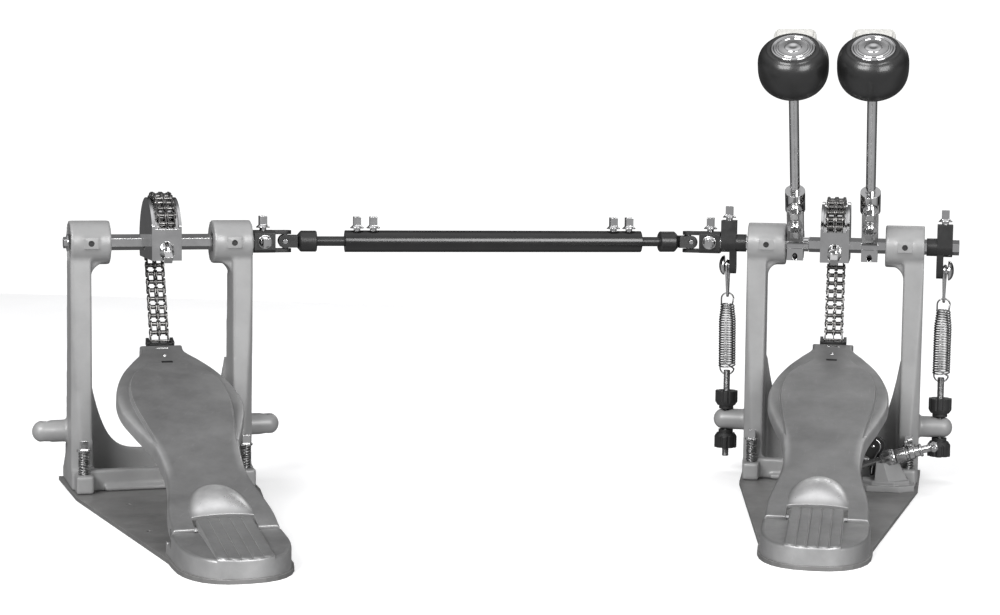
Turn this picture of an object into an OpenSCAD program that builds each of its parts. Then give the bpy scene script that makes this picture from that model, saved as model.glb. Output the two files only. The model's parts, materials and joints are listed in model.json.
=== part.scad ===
// Double bass drum pedal: a main pedal with two beaters, and a second pedal
// that drives the left beater through a telescoping shaft with two universal joints.
// Millimetres. X runs along the main axle, +Y points at the drum, +Z is up.
// The origin lies on the floor, under the middle of the main pedal's axle.

/* [Axle and bearings] */
// Height of the axle's centre above the floor
axle_h = 200; // [190:1:212]
// Size of the hexagonal axle across its flats
hex_af = 11.1; // [10:0.1:12]
// Distance from the pedal's middle to the middle of a bearing housing
housing_x = 57; // [55:0.5:62]
// Length of a bearing housing
housing_len = 32; // [28:1:36]
// Diameter of a bearing housing
housing_d = 35; // [34:0.5:40]
// Outer radius of a bearing's outer race
race_r = 14.5; // [13.6:0.1:15]
// Width of a bearing
bearing_w = 8; // [6:0.5:10]
// Radius of the bearing balls
ball_r = 1.7; // [1.4:0.1:1.8]
// Balls in one bearing
ball_count = 9; // [7:1:11]

/* [Frame] */
// Width of a post, seen from the player's side
post_w = 16.5; // [14:0.5:20]
// Depth of a post at its top
post_depth = 26; // [20:1:30]
// Depth of a post at half height
post_depth_low = 34; // [28:1:40]
// Height at which the posts start to flare into the arch
arch_h = 102; // [90:1:115]
// Height of the frame's cross wall at its middle
wall_h = 30; // [27:1:34]
// Width of the bevel on a post's outer edge, at its foot
bevel_w = 8; // [5:0.5:10]
// Thickness of the cross wall
wall_t = 7; // [5:0.5:10]
// Height of the front crossbar
bar_h = 20; // [17:1:22]
// Height of a foot block
foot_h = 17.6; // [15:0.2:20]
// Reach of a foot block towards the player
foot_y = 35; // [32:1:40]
// Distance from the axle down to the middle of a side arm
arm_drop = 153.3; // [150:0.1:156]
// Thickness of a side arm
arm_d = 18; // [16:0.5:20]
// Reach of a side arm from the pedal's middle
arm_reach = 101; // [99:0.5:105]

/* [Base plate and heel] */
// Thickness of the base plate
plate_t = 3; // [2:0.5:4]
// Half width of the base plate at its drum end
plate_half_w = 76; // [75:0.5:82]
// Half width of the base plate at its heel
plate_heel_half_w = 40; // [39:0.5:46]
// Distance from the axle to the drum end of the plate
plate_back = 56.5; // [55:0.5:64]
// Distance from the axle to the nose of the plate
plate_nose = 359; // [355:1:370]
// Height of the heel plate's seats under the board's ears
heel_side_h = 8; // [6:0.5:8.5]
// Height of the heel plate at its nose
heel_nose_h = 12; // [9:0.5:14]
// Number of ribs on the heel ramp
rib_count = 5; // [4:1:8]

/* [Footboard] */
// Height of the board's heel pin
hinge_z = 19; // [18:0.5:22]
// Distance from the axle to the heel pin
hinge_y = 276.5; // [274:0.5:280]
// Radius of the heel pin
pin_r = 3; // [2.5:0.1:3.4]
// Distance from the board's tip on to the chain's last pin
toe_reach = 7.8; // [7:0.1:10]
// Height of the chain's last pin over the heel pin, square to the board
toe_rise = 5.8; // [4.6:0.1:6.4]
// Half width of the board's tip
tip_half_w = 17; // [14:0.5:19]
// Half width of the board where the ball of the foot lies
ball_half_w = 47.5; // [44:0.5:50]
// Half width of the board's waist
waist_half_w = 29; // [27:0.5:32]
// Half width of the board at the heel pin
ear_half_w = 36.7; // [36:0.1:37.5]
// Height of the board's edge
skirt_h = 11; // [8:0.5:13]
// Wall of the footboard casting
board_wall = 3.4; // [2.5:0.1:4.5]
// Height of the raised tread over the board's flange
tread_h = 3; // [1.5:0.1:4]

/* [Cam and chain] */
// Pitch of the chain
chain_pitch = 7.2; // [7:0.05:7.4]
// Radius of the chain's pins on the cam
cam_pitch_r = 37.5; // [36.5:0.1:38.5]
// Width of the cam across its cheeks
cam_w = 23.5; // [23:0.1:26]
// Thickness of a cheek
cheek_t = 2.4; // [1.8:0.1:2.6]
// Distance from the axle to the face of the cam's front plate
cam_front = 33; // [31:0.2:34]
// Lean of the hanging chain from upright
chain_lean = 22.4; // [20:0.1:24]
// Links in the hanging run
run_links = 10; // [9:1:10]
// Links that straighten as the cam turns
bend_links = 5; // [4:1:6]
// Links that stay wrapped on the cam
wrap_links = 11; // [9:1:11]
// Distance between the middles of the two strands
strand_gap = 6.9; // [6.8:0.05:7.1]

/* [Beaters] */
// Lean of the beaters towards the player at rest
beater_lean = 37; // [30:1:42]
// Distance from the axle to the middle of a beater's head
beater_len = 184; // [165:1:200]
// Diameter of a beater's rod
rod_d = 8; // [7:0.1:9]
// Largest radius of a beater's head
head_r = 27.7; // [26:0.1:30]
// Distance from the pedal's middle to the right hub's middle
right_hub_x = 28.1; // [27:0.1:29]
// Width of a beater hub
hub_w = 13.5; // [12:0.1:14]
// Distance from the axle to the top of a hub's socket
socket_top = 57.5; // [54:0.5:62]
// Radius of a hub's socket
socket_r = 8.3; // [7.5:0.1:9]

/* [Return springs] */
// Lean of a spring's line towards the drum
line_lean = 9.2; // [6:0.1:11]
// Width of a rocker along the axle
rocker_w = 12.5; // [11:0.1:14]
// Distance from the axle down to a rocker's stud
stud_drop = 19.6; // [18:0.1:22]
// Length of a spring's coil
coil_len = 55; // [50:0.5:58]
// Turns of a return spring
coil_turns = 22; // [18:1:23]
// Outer diameter of a return spring
coil_d = 14.1; // [12:0.1:14.5]
// Thickness of the spring wire
wire_d = 1.8; // [1.4:0.1:1.9]
// Radius of a tension knob
knob_r = 9.6; // [8:0.1:11]

/* [Linkage] */
// Distance between the pins of the two universal joints
link_len = 343; // [325:1:365]
// Angle of the linkage to the main axle
link_angle = 21.5; // [10:0.5:24]
// Angle of the second pedal's axle to the linkage
slave_angle = 8.2; // [0:0.1:20]
// Length of the linkage tube
tube_len = 251; // [235:1:255]
// Diameter of the linkage tube
tube_d = 18; // [16:0.2:20]
// Diameter of the two linkage rods
link_rod_d = 8; // [7:0.1:9]
// Distance from a joint's pin to the end of its barrel
barrel_end = 26; // [23:0.1:27]
// Outer size of an outer yoke
yoke_size = 18; // [16:0.2:20]
// Length of an outer yoke's block
yoke_block = 17.5; // [16:0.1:20]

/* [Hidden] */
$fn = 48;

// Clearances: between fitted pieces, running pieces, and loose ones
fit = 0.05;
run = 0.06;
loose = 0.3;
// A cutter's reach past the face that it cuts
past = 1;

// Stations along the axle
housing_in = housing_x - housing_len / 2;
housing_out = housing_x + housing_len / 2;
collar_gap = 1.8;
collar_len = 8.4;
collar_r = 7.4;
rocker_in = housing_out + collar_gap + collar_len;
rocker_out = rocker_in + rocker_w;
hub_gap = 1;
left_hub_x = housing_in - hub_gap - hub_w / 2;
sleeve_end = left_hub_x - hub_w / 2 - 4;
shaft_end = rocker_out + 5.5;
yoke_gap = 0.8;
yoke_pin = yoke_block + 9.6;
ear_r = 5.2;
main_pin_x = rocker_out + yoke_gap + yoke_pin;
slave_pin_x = housing_out + collar_gap + yoke_pin;

// Place of the second pedal
slave_yaw = link_angle + slave_angle;
slave_pin = [-main_pin_x - link_len * cos(link_angle), -link_len * sin(link_angle)];
slave_at = slave_pin - slave_pin_x * [cos(slave_yaw), sin(slave_yaw)];

// Bearings: inner race, balls and outer race, from the axle outwards
hex_r = hex_af / 2 / cos(30);
sleeve_r = 6;
spigot_r = 4;
inner_race_r = 9.1;
ball_ring_r = inner_race_r + fit + ball_r;
outer_race_in = ball_ring_r + ball_r + fit;
lip_r = 8;
housing_r = housing_d / 2;
grub_r = 2.7;
grub_pad = [12, 0.6, 9];

// Frame
arm_z = axle_h - arm_drop;
post_x = housing_out - post_w / 2;
post_in = housing_out - post_w;
foot_w = 13.4;
foot_x = housing_out - 1.6 - foot_w / 2;
rail_back = 54;
wall_y = 20;
bar_y = 22;
bar_t = 10;
arch_power = 5;
window_half_w = 21;
window_top = 21;
rod_x = rocker_in + 7;
rod_r = 3;
arm_hole_r = rod_r + loose;
fillet_r = 12;

// Spur screws in the foot blocks
spur_x = foot_x;
spur_y = 24;
spur_r = 2.5;
spur_tip = 1.5;
spur_top = 36;

// Base plate and heel plate
shoulder_half_w = plate_half_w - 3;
shoulder_y = 42;
heel_start_y = hinge_y + 14.5;
heel_margin = 2;
heel_ridge = 9.4;
heel_ridge_h = 16.5;
heel_bolt_wide = plate_heel_half_w - 12;
heel_bolt_near = hinge_y + 13.5;
heel_bolt_narrow = plate_heel_half_w - 13;
heel_bolt_far = plate_nose - 29;
frame_bolts = [2, 42];
slot_x = 38;
rail_rise = 8;
rail_knee = 0.13 * axle_h;
post_knee = 0.3 * axle_h;
cam_room = 40;
nose_power = 2.5;
nose_steps = 14;
ramp_half_w = 21.2;
ramp_front = plate_nose - 6;
lug_r = 7.6;
rib_h = 0.8;
bolt_r = 3;
bolt_head_r = 5.4;
bolt_head_h = 2.2;

// Footboard: u runs along the board from the heel pin, w stands square to it
link_turn = 2 * asin(chain_pitch / 2 / cam_pitch_r);
toe_pin = chain_pin_at(-run_links) + [hinge_y, -hinge_z];
board_len = sqrt(toe_pin * toe_pin - toe_rise * toe_rise) - toe_reach;
board_tilt = atan2(toe_pin.y, toe_pin.x) - asin(toe_rise / norm(toe_pin));
board_top = 6;
ear_in = 21.7;
ear_end = 7;
ear_drop = 5;
dome_h = 7.5;
dome_u = 9;
dome_mid = 30.5;
dome_len = 23.5;
tread_in = 84;
tread_rise = 60;
tread_out = 252;
relief_r = lug_r + 0.7;
toe_w = 22;
toe_t = 4.5;
toe_hole_r = 1.8;
toe_hole_in = 21;
toe_slit_w = 8;
toe_slit_t = 3;
toe_slit_in = 35;
toe_clamp_h = 9.3;
toe_lug_h = 5.5;

// Chain: pins are numbered up from the point where the chain leaves the cam
plate_r = 3;
waist_r = 2.3;
roller_r = 1.7;
chain_pin_r = 1.05;
chain_bore_r = 1.15;
link_t = 1.05;
window_w = 4;
rim_r = cam_pitch_r - plate_r - 0.3;
cheek_r = cam_pitch_r - 1.5;
cam_hub_r = 11.5;
cam_low = 13;
cam_plate_t = 3.5;
cam_plate_top = 12;
cam_screw_z = -6;
cam_screw_tilt = 40;
cam_screw_len = 12;

// Square-headed key screws
key_af = 6.2;
key_head = 8;
key_flange_r = 5.6;
key_flange_t = 1.6;
key_shank_r = 2.8;
key_gap = 2.2;

// Beaters
socket_len = 19.5;
hub_ring_r = 11.5;
hub_depth = 14;
hub_screw_low = 25;
hub_screw_high = 45;
hub_boss = 9.5;
rod_start = 20;
head_up = 15.7;
head_down = 25;
head_round = head_up + 2.7;
head_power = 0.72;
cap_r = 17.2;
cap_t = 2;
felt_w = 34;
felt_face = 22;
felt_out = 32;
felt_up = 12;
felt_down = 19;

// Rocker, stud and hook
rocker_top = 19;
rocker_half = 8;
lever_t = 5.4;
lever_half = 6;
lever_low = stud_drop + 7;
stud_r = 3;
button_r = 8.4;
button_t = 5.6;
hook_t = 2.8;
hook_wire = 2.4;
hook_r = stud_r + 0.2;
stud_z = axle_h - stud_drop;

// Return springs, rods and knobs
coil_r = (coil_d - wire_d) / 2;
loop_low_r = 6;
loop_high_r = 5.2;
loop_low_in = 2;
loop_high_out = 4.2;
coil_drop = 53.2;
coil_high = axle_h - coil_drop;
coil_low = coil_high - coil_len;
eye_z = coil_low - loop_low_in - loop_low_r;
hook_low = coil_high + loop_high_out + loop_high_r - wire_d / 2 - 0.4 - hook_wire;
knob_h = 15.5;
knob_flutes = 10;
rod_tail = 26.2;
rod_tail_left = 32.5;
arm_y = (axle_h - eye_z) * sin(line_lean);
rod_eye = axle_h - (axle_h - eye_z) * cos(line_lean);
arm_top = arm_z + arm_d / 2;
arm_low = arm_z - arm_d / 2;

// Linkage
tube_start = (link_len - tube_len) / 2 + 3.4;
rod_in = 55;
barrel_r = 8.7;
neck_r = 4.9;
fork_half = 8.2;
fork_gap = 5.4;
fork_h = 9.8;
fork_reach = 5.5;
barrel_start = 12.2;
fork_root = 7.5;
cross_half = 4.2;
cross_pin_r = 2;
cross_hole_r = cross_pin_r + loose;
ear_gap = 5.9;
tube_screw_near = 10;
tube_screw_far = 23.5;

// Hoop clamp
clamp_y = 45;
clamp_pivot = [8, 16];
clamp_shaft_r = 4;
claw_half_w = 17;
claw_t = 5;
claw_back = plate_back - 1;
hoop_gap = 11;
clamp_foot_in = 26;
clamp_foot_out = 70;
clamp_foot_y = 26.5;
clamp_foot_t = 5;
clamp_step_t = 3.1;
horn_low_r = 12;
horn_top_r = 8;
horn_boss_r = 7.4;
lug_t = 6;
lug_half = 6;
t_collar_r = 5;
t_collar_in = 20;
t_collar_len = 10;
t_bar_r = 2.5;
t_bar_len = 26;
lever_x = 37;
lever_w = 7;
t_angle = 17;
t_x = 54;
t_z = 30;
t_r = 3;
t_inner = 80;
t_outer = 32;

// Spring wire as a tube of six sides
wire_sides = 6;
curl_steps = 8;

function unit(v) = v / norm(v);
function flat(v, t) = unit(v - (v * t) * t);
function tangents(p) = [for (i = [0:len(p) - 1])
    unit(p[min(i + 1, len(p) - 1)] - p[max(i - 1, 0)])];
function carried(t, n0) = [for (i = 0, n = flat(n0, t[0]); i < len(t);
    i = i + 1, n = i < len(t) ? flat(n, t[i]) : n) n];

// Tube along the points p, closed at both ends; n0 starts its seam
module tube_along(p, r, n0) {
    t = tangents(p);
    n = carried(t, n0);
    m = wire_sides;
    rings = [for (i = [0:len(p) - 1], k = [0:m - 1])
        p[i] + r * (cos(k * 360 / m) * n[i] + sin(k * 360 / m) * cross(t[i], n[i]))];
    walls = [for (i = [0:len(p) - 2], k = [0:m - 1], h = [0, 1])
        let (a = i * m + k, b = i * m + (k + 1) % m)
        h == 0 ? [a, a + m, b] : [b, a + m, b + m]];
    near = [for (k = [1:m - 2]) [0, k, k + 1]];
    last = (len(p) - 1) * m;
    far = [for (k = [1:m - 2]) [last, last + k + 1, last + k]];
    polyhedron(points = rings, faces = concat(walls, near, far));
}

// Points of a return spring: a loop below, the coil, and a loop above
function loop_low() = [for (a = [150:20:350])
    [loop_low_r * cos(a), 0, eye_z + loop_low_r + loop_low_r * sin(a)]];
function coil_points(turns, r, z0, z1) = [for (i = [0:turns * curl_steps])
    let (a = 360 * i / curl_steps)
    [r * cos(a), r * sin(a), z0 + (z1 - z0) * i / (turns * curl_steps)]];
function loop_high() = [for (a = [10:20:210])
    [loop_high_r * cos(a), 0, coil_high + loop_high_out + loop_high_r * sin(a)]];
function spring_points() = concat(loop_low(),
    coil_points(coil_turns, coil_r, coil_low, coil_high), loop_high());
function least_gap(p, skip, d) = min([for (i = [0:len(p) - 1 - skip], j = [i + skip:len(p) - 1])
    norm(p[i] - p[j])]) - d;

spur_wire = 1;
spur_coil_r = 3.4;
spur_turns = 8;
function spur_points() = coil_points(spur_turns, spur_coil_r,
    foot_h + spur_wire / 2 + 0.02, spur_top - spur_wire / 2 - 0.02);
echo(return_spring_gap = least_gap(spring_points(), 5, wire_d));
echo(spur_spring_gap = least_gap(spur_points(), 5, spur_wire));

// Copies a child on both sides of the pedal
module both_sides() {
    children();
    mirror([1, 0, 0]) children();
}

// Turns an outline drawn in Y and Z into a solid of thickness t about X = 0
module across(t) {
    rotate([90, 0, 90]) linear_extrude(t, center = true) children();
}

// A round bar along X, from x0 to x1
module bar_x(r, x0, x1) {
    translate([x0, 0, 0]) rotate([0, 90, 0]) cylinder(r = r, h = x1 - x0);
}

// A hexagonal bar along X with flat faces front and back
module hex_x(r, x0, x1) {
    translate([(x0 + x1) / 2, 0, 0]) across(x1 - x0) rotate(30) circle(r, $fn = 6);
}

module at_slave() {
    translate([slave_at.x, slave_at.y, 0]) rotate([0, 0, slave_yaw]) children();
}

// The linkage's own frame: X runs from the left joint's pin to the right one's
module at_link() {
    translate([slave_pin.x, slave_pin.y, axle_h]) rotate([0, 0, link_angle]) children();
}

module at_right_joint() {
    at_link() translate([link_len, 0, 0]) rotate([0, 0, 180]) children();
}

module at_axle() {
    translate([0, 0, axle_h]) children();
}

// Leans what hangs from the axle to a spring's line
module at_line() {
    at_axle() rotate([line_lean, 0, 0]) translate([0, 0, -axle_h]) children();
}

// Key screw: the hole's mouth at the origin, its head up, its flange raised by the gap
module key_screw(len, gap = 0) {
    translate([0, 0, -len]) cylinder(r = key_shank_r, h = len + gap + 0.5);
    translate([0, 0, gap]) {
        cylinder(r = key_flange_r, h = key_flange_t / 2);
        translate([0, 0, key_flange_t / 2])
            cylinder(r1 = key_flange_r - 0.4, r2 = key_af / 2 + 0.6, h = key_flange_t);
        translate([-key_af / 2, -key_af / 2, key_flange_t]) cube([key_af, key_af, key_head]);
    }
}

module key_hole(len) {
    translate([0, 0, -len]) rotate(25) cylinder(r = key_shank_r + fit, h = len + past);
}

// Frame casting

module post_outline() {
    polygon([
        [-post_depth / 2, axle_h - 8], [-post_depth / 2 - 1, arch_h],
        [-post_depth_low / 2 + 2, foot_h], [-post_depth_low / 2 + 2, plate_t],
        [rail_back, plate_t], [rail_back, plate_t + rail_rise], [post_depth_low + 2, rail_knee],
        [post_depth_low / 2 + rail_rise, post_knee], [post_depth / 2 + 6, arch_h],
        [post_depth / 2 - 1, axle_h - 8],
    ]);
}

module post() {
    difference() {
        translate([post_x, 0, 0]) across(post_w) post_outline();
        post_bevel();
        at_axle() bar_x(housing_r - past, post_in - past, housing_out + past);
    }
}

// Cutter for the post's outer edge: a plane that leaves the edge below the housing and is widest at the foot
module post_bevel() {
    x = housing_out;
    y = -post_depth_low / 2 + 2;
    w = bevel_w;
    polyhedron(
        points = [[x, -post_depth / 2, axle_h - housing_r - 4], [x - 2 * w, y - w, foot_h],
            [x + w, y + 2 * w, foot_h], [x + 2 * w, y - 2 * w, foot_h]],
        faces = [[0, 1, 2], [0, 2, 3], [0, 3, 1], [1, 3, 2]]);
}

// Fillet where the housing overhangs the post
module post_fillet() {
    translate([post_in - fillet_r, 0, axle_h - housing_r - fillet_r + 1.5])
        rotate([90, 0, 0]) linear_extrude(post_depth - 8, center = true) difference() {
            square([fillet_r + past, fillet_r + 2]);
            circle(fillet_r);
        }
}

module housing() {
    at_axle() {
        bar_x(housing_r, housing_in, housing_out);
        translate([housing_x, -housing_r + 3 - grub_pad.y, 0])
            cube([grub_pad.x, 6, grub_pad.z], center = true);
    }
}

module housing_cuts() {
    at_axle() {
        bar_x(lip_r, housing_in - past, housing_out);
        bar_x(race_r + fit, housing_x - bearing_w / 2 - fit, housing_out + past);
        translate([housing_x, 0, 0]) rotate([90, 0, 0])
            cylinder(r = grub_r + fit, h = housing_r + 3);
    }
}

module side_arm() {
    arm_r = arm_d / 2;
    difference() {
        translate([0, arm_y, arm_z]) {
            bar_x(arm_r, post_in + 4, arm_reach - arm_r);
            translate([arm_reach - arm_r, 0, 0]) sphere(arm_r);
        }
        translate([rod_x, arm_y, 0]) cylinder(r = arm_hole_r, h = axle_h / 2);
    }
}

module foot_block() {
    difference() {
        translate([foot_x - foot_w / 2, -foot_y, plate_t])
            cube([foot_w, foot_y - post_depth_low / 2 + 4, foot_h - plate_t]);
        translate([spur_x, -spur_y, 0]) cylinder(r = spur_r + run, h = axle_h);
    }
}

// The wall between the posts, its top drawn down in an arch
module cross_wall(windowed) {
    arch = [for (i = [18:-1:-18]) let (t = i / 18)
        [post_in * t, wall_h + (arch_h + past - wall_h) * pow(abs(t), arch_power)]];
    translate([0, wall_y + wall_t, 0]) rotate([90, 0, 0]) linear_extrude(wall_t) difference() {
        polygon(concat([[-post_in - 4, arch_h], [-post_in - 4, plate_t],
            [post_in + 4, plate_t], [post_in + 4, arch_h]], arch));
        if (windowed) translate([-window_half_w, 0]) square([2 * window_half_w, window_top]);
    }
}

module crossbar() {
    translate([-post_in - 4, -bar_y, plate_t]) cube([2 * post_in + 8, bar_t, bar_h - plate_t]);
    translate([-post_in + 8, -bar_y - 3, plate_t]) cube([2 * post_in - 16, 4, 4]);
}

module frame_bolt_holes() {
    for (y = frame_bolts) translate([post_x, y, 0]) cylinder(r = bolt_r + fit, h = 14);
}

module frame(windowed) {
    difference() {
        union() {
            both_sides() {
                post();
                post_fillet();
                housing();
                foot_block();
                side_arm();
            }
            cross_wall(windowed);
            crossbar();
        }
        both_sides() {
            housing_cuts();
            frame_bolt_holes();
        }
    }
}

// Base plate

function nose_arc(half, start, nose) = [for (i = [0:nose_steps])
    let (a = 180 * i / nose_steps, c = cos(a), s = sin(a))
    [-half * sign(c) * pow(abs(c), 2 / nose_power),
        -start - (nose - start) * pow(s, 2 / nose_power)]];

module countersink() {
    translate([0, 0, -past]) cylinder(r = bolt_r + fit, h = plate_t + 2 * past);
    translate([0, 0, -0.01]) cylinder(r1 = bolt_head_r + fit, r2 = bolt_r + fit, h = bolt_head_h);
}

module base_bolt(len) {
    cylinder(r = bolt_r, h = len);
    cylinder(r1 = bolt_head_r, r2 = bolt_r, h = bolt_head_h);
}

module at_base_bolts() {
    both_sides() {
        for (y = frame_bolts) translate([post_x, y, 0]) children();
        translate([heel_bolt_narrow, -heel_bolt_far, 0]) children();
        translate([heel_bolt_wide, -heel_bolt_near, 0]) children();
    }
}

module base_plate(slots) {
    difference() {
        linear_extrude(plate_t) polygon(concat(
            [[-plate_heel_half_w, -heel_start_y + 4], [-shoulder_half_w, -shoulder_y],
                [-plate_half_w, plate_back], [plate_half_w, plate_back],
                [shoulder_half_w, -shoulder_y], [plate_heel_half_w, -heel_start_y + 4]],
            [for (i = [nose_steps:-1:0])
                nose_arc(plate_heel_half_w, heel_start_y + 8, plate_nose)[i]]));
        at_base_bolts() countersink();
        both_sides() translate([spur_x, -spur_y, -past])
            cylinder(r = spur_r + 0.5, h = plate_t + 2 * past);
        for (y = slots) translate([-slot_x, -y, -past]) cylinder(r = 2, h = plate_t + 2 * past);
    }
}

// Heel plate: low sides, and a ribbed ramp that rises to the heel pin

module heel_ramp() {
    top = hinge_z + lug_r;
    low = plate_t + heel_nose_h;
    across(2 * ramp_half_w) polygon([
        [-hinge_y, plate_t], [-hinge_y, top], [-ramp_front, low + 0.3], [-ramp_front, plate_t]]);
    translate([0, -hinge_y, hinge_z]) bar_x(lug_r, -ramp_half_w, ramp_half_w);
    translate([0, -hinge_y, 0]) across(2 * ramp_half_w)
        polygon([[0, plate_t], [lug_r, plate_t], [lug_r, hinge_z], [0, hinge_z]]);
    run_y = ramp_front - hinge_y;
    slope = atan((top - low) / run_y);
    pitch = 2 * ramp_half_w / rib_count;
    for (i = [0:rib_count - 1])
        translate([-ramp_half_w + (i + 0.06) * pitch, -hinge_y, top]) rotate([slope, 0, 0])
            translate([0, -run_y / cos(slope) + 1, -0.5]) cube([0.88 * pitch, run_y / cos(slope) - 2,
                0.5 + rib_h]);
}

module heel_plate() {
    half = plate_heel_half_w - heel_margin;
    ridge_y = hinge_y + heel_ridge;
    difference() {
        union() {
            difference() {
                translate([0, 0, plate_t]) linear_extrude(heel_ridge_h) polygon(concat(
                    [[half, -hinge_y + 12], [-half, -hinge_y + 12]],
                    nose_arc(half, heel_start_y + 8, plate_nose - heel_margin)));
                across(2 * half + past) polygon([[-hinge_y + 13, plate_t + heel_side_h],
                    [-ridge_y, plate_t + heel_side_h], [-ridge_y, plate_t + heel_ridge_h],
                    [-plate_nose, plate_t + heel_nose_h], [-plate_nose, 2 * hinge_z + plate_t],
                    [-hinge_y + 13, 2 * hinge_z + plate_t]]);
            }
            heel_ramp();
        }
        translate([0, -hinge_y, hinge_z]) bar_x(pin_r + fit, -half, half);
        at_base_bolts() cylinder(r = bolt_r + fit, h = plate_t + 6);
    }
}

module heel_pin() {
    translate([0, -hinge_y, hinge_z]) bar_x(pin_r, -ear_half_w, ear_half_w);
}

module hardware() {
    heel_pin();
    at_base_bolts() base_bolt(plate_t + 5);
    both_sides() at_axle() translate([housing_x, -race_r - 0.02, 0]) rotate([90, 0, 0]) difference() {
        cylinder(r = grub_r, h = housing_r - race_r - 1);
        translate([0, 0, 0.8]) cylinder(r = 1.5, h = housing_r, $fn = 6);
    }
}

module bearings() {
    both_sides() at_axle() translate([housing_x, 0, 0]) rotate([0, 90, 0]) {
        difference() {
            cylinder(r = race_r, h = bearing_w, center = true);
            cylinder(r = outer_race_in, h = bearing_w + past, center = true);
        }
        for (i = [0:ball_count - 1]) rotate(i * 360 / ball_count)
            translate([ball_ring_r, 0, 0]) sphere(ball_r);
    }
}

module inner_race(hexed) {
    difference() {
        bar_x(inner_race_r, -bearing_w / 2, bearing_w / 2);
        if (hexed) hex_x(hex_r + fit, -bearing_w, bearing_w);
        else bar_x(sleeve_r + fit, -bearing_w, bearing_w);
    }
}

// Footboard

module at_board() {
    translate([0, -hinge_y, hinge_z]) rotate([board_tilt, 0, 0]) children();
}

// Half width of the board at each place along it, smoothed between the named stations
stations = [
    [ear_end, ear_half_w], [along(0.085), ear_half_w - 1.5], [along(0.212), waist_half_w + 0.6],
    [along(0.3), waist_half_w], [along(0.403), waist_half_w + 3], [along(0.512), ball_half_w - 7],
    [along(0.6), ball_half_w - 1], [along(0.676), ball_half_w], [along(0.751), ball_half_w - 3],
    [along(0.836), ball_half_w - 10.5], [along(0.901), ball_half_w - 21], [along(0.957), tip_half_w + 0.6],
    [board_len, tip_half_w],
];
tread_stations = [
    [0, waist_half_w - 1], [along(0.3), waist_half_w - 1.2], [along(0.403), waist_half_w + 0.4],
    [along(0.512), ball_half_w - 14], [along(0.6), ball_half_w - 11], [along(0.676), ball_half_w - 10.3],
    [along(0.751), ball_half_w - 13], [along(0.812), ball_half_w - 19], [along(0.865), ball_half_w - 31],
];
function along(share) = share * board_len;
function spot(s, u) = max([for (i = [0:len(s) - 2]) s[i].x <= u ? i : 0]);
function slope_at(s, i) = i <= 0 || i >= len(s) - 1 ? 0
    : (s[i + 1].y - s[i - 1].y) / (s[i + 1].x - s[i - 1].x);
// Cubic curve through the stations
function half_w(s, u) = let (i = spot(s, u), d = s[i + 1].x - s[i].x, t = (u - s[i].x) / d)
    s[i].y * (2 * t * t * t - 3 * t * t + 1) + s[i + 1].y * (3 * t * t - 2 * t * t * t)
    + d * slope_at(s, i) * (t * t * t - 2 * t * t + t) + d * slope_at(s, i + 1) * (t * t * t - t * t);
board_steps = 30;
function side_points(s, u0, u1, less) = [for (i = [0:board_steps])
    let (u = u0 + (u1 - u0) * i / board_steps) [half_w(s, u) - less, u]];
function closed(side) = concat(side, [for (i = [len(side) - 1:-1:0]) [-side[i].x, side[i].y]]);

module board_shape(s, u0, u1, less) {
    polygon(closed(side_points(s, u0, u1, less)));
}

// Dome that covers the heel joint: a body of revolution along the board
module dome(grow) {
    r = (ear_in * ear_in + dome_h * dome_h) / 2 / dome_h + grow;
    sink = r - grow - dome_h;
    a = dome_len / sqrt(1 - pow(sink / (r - grow), 2)) + grow;
    translate([0, dome_mid, board_top - sink]) rotate([-90, 0, 0]) rotate_extrude()
        polygon([for (t = [-90:10:90]) [r * cos(t), a * sin(t)]]);
}

module footboard() {
    low = board_top - skirt_h;
    at_board() difference() {
        union() {
            difference() {
                translate([0, 0, low]) linear_extrude(skirt_h)
                    board_shape(stations, ear_end + 8, board_len, 0);
                translate([0, 0, low - past]) linear_extrude(skirt_h - board_wall + past)
                    board_shape(stations, ear_end + 20, board_len - board_wall, board_wall);
            }
            intersection() {
                translate([0, 0, board_top - 0.5]) linear_extrude(tread_h + 0.5)
                    board_shape(tread_stations, tread_in, tread_out, 0);
                across(2 * ball_half_w) polygon([[tread_in, board_top - 1], [tread_out + past, board_top - 1],
                    [tread_out + past, board_top + tread_h], [tread_in + tread_rise, board_top + tread_h],
                    [tread_in, board_top + 0.2]]);
            }
            intersection() {
                dome(0);
                translate([-ear_in - past, dome_u, board_top - 1])
                    cube([2 * (ear_in + past), dome_mid - dome_u + dome_len, dome_h + 2]);
            }
            both_sides() translate([ear_in, -ear_end, -ear_drop])
                cube([ear_half_w - ear_in, ear_end + 18, ear_drop + board_top]);
        }
        bar_x(relief_r, -ear_in, ear_in);
        translate([-ear_in, -ear_end - past, low - past])
            cube([2 * ear_in, ear_end + past + dome_u, skirt_h + dome_h + 2 * past]);
        bar_x(pin_r + run, -ear_half_w - past, ear_half_w + past);
        translate([0, board_len - toe_hole_in, 0]) cylinder(r = toe_hole_r, h = board_top + past);
        translate([-toe_slit_w / 2, board_len - toe_slit_in, 0]) cube([toe_slit_w, toe_slit_t, board_top + past]);
    }
}

// Clamp at the board's tip that holds the chain's last pin
module toe_clamp() {
    at = board_point(chain_pin_at(-run_links));
    at_board() difference() {
        union() {
            translate([-toe_w / 2, board_len + 0.02, board_top + 0.6 - toe_clamp_h])
                cube([toe_w, toe_t - 1.2, toe_clamp_h]);
            both_sides() translate([toe_w / 2 - 2.5, board_len + 0.02, at.y + 2 - toe_lug_h])
                cube([2.5, at.x - board_len + 2, toe_lug_h]);
        }
        translate([0, at.x, at.y]) bar_x(chain_bore_r, -toe_w, toe_w);
    }
}

// A point in the pedal's Y and Z, given along and square to the board
function board_point(p) = let (y = p.x + hinge_y, z = p.y - hinge_z)
    [y * cos(board_tilt) + z * sin(board_tilt), z * cos(board_tilt) - y * sin(board_tilt)];

// Chain

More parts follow.
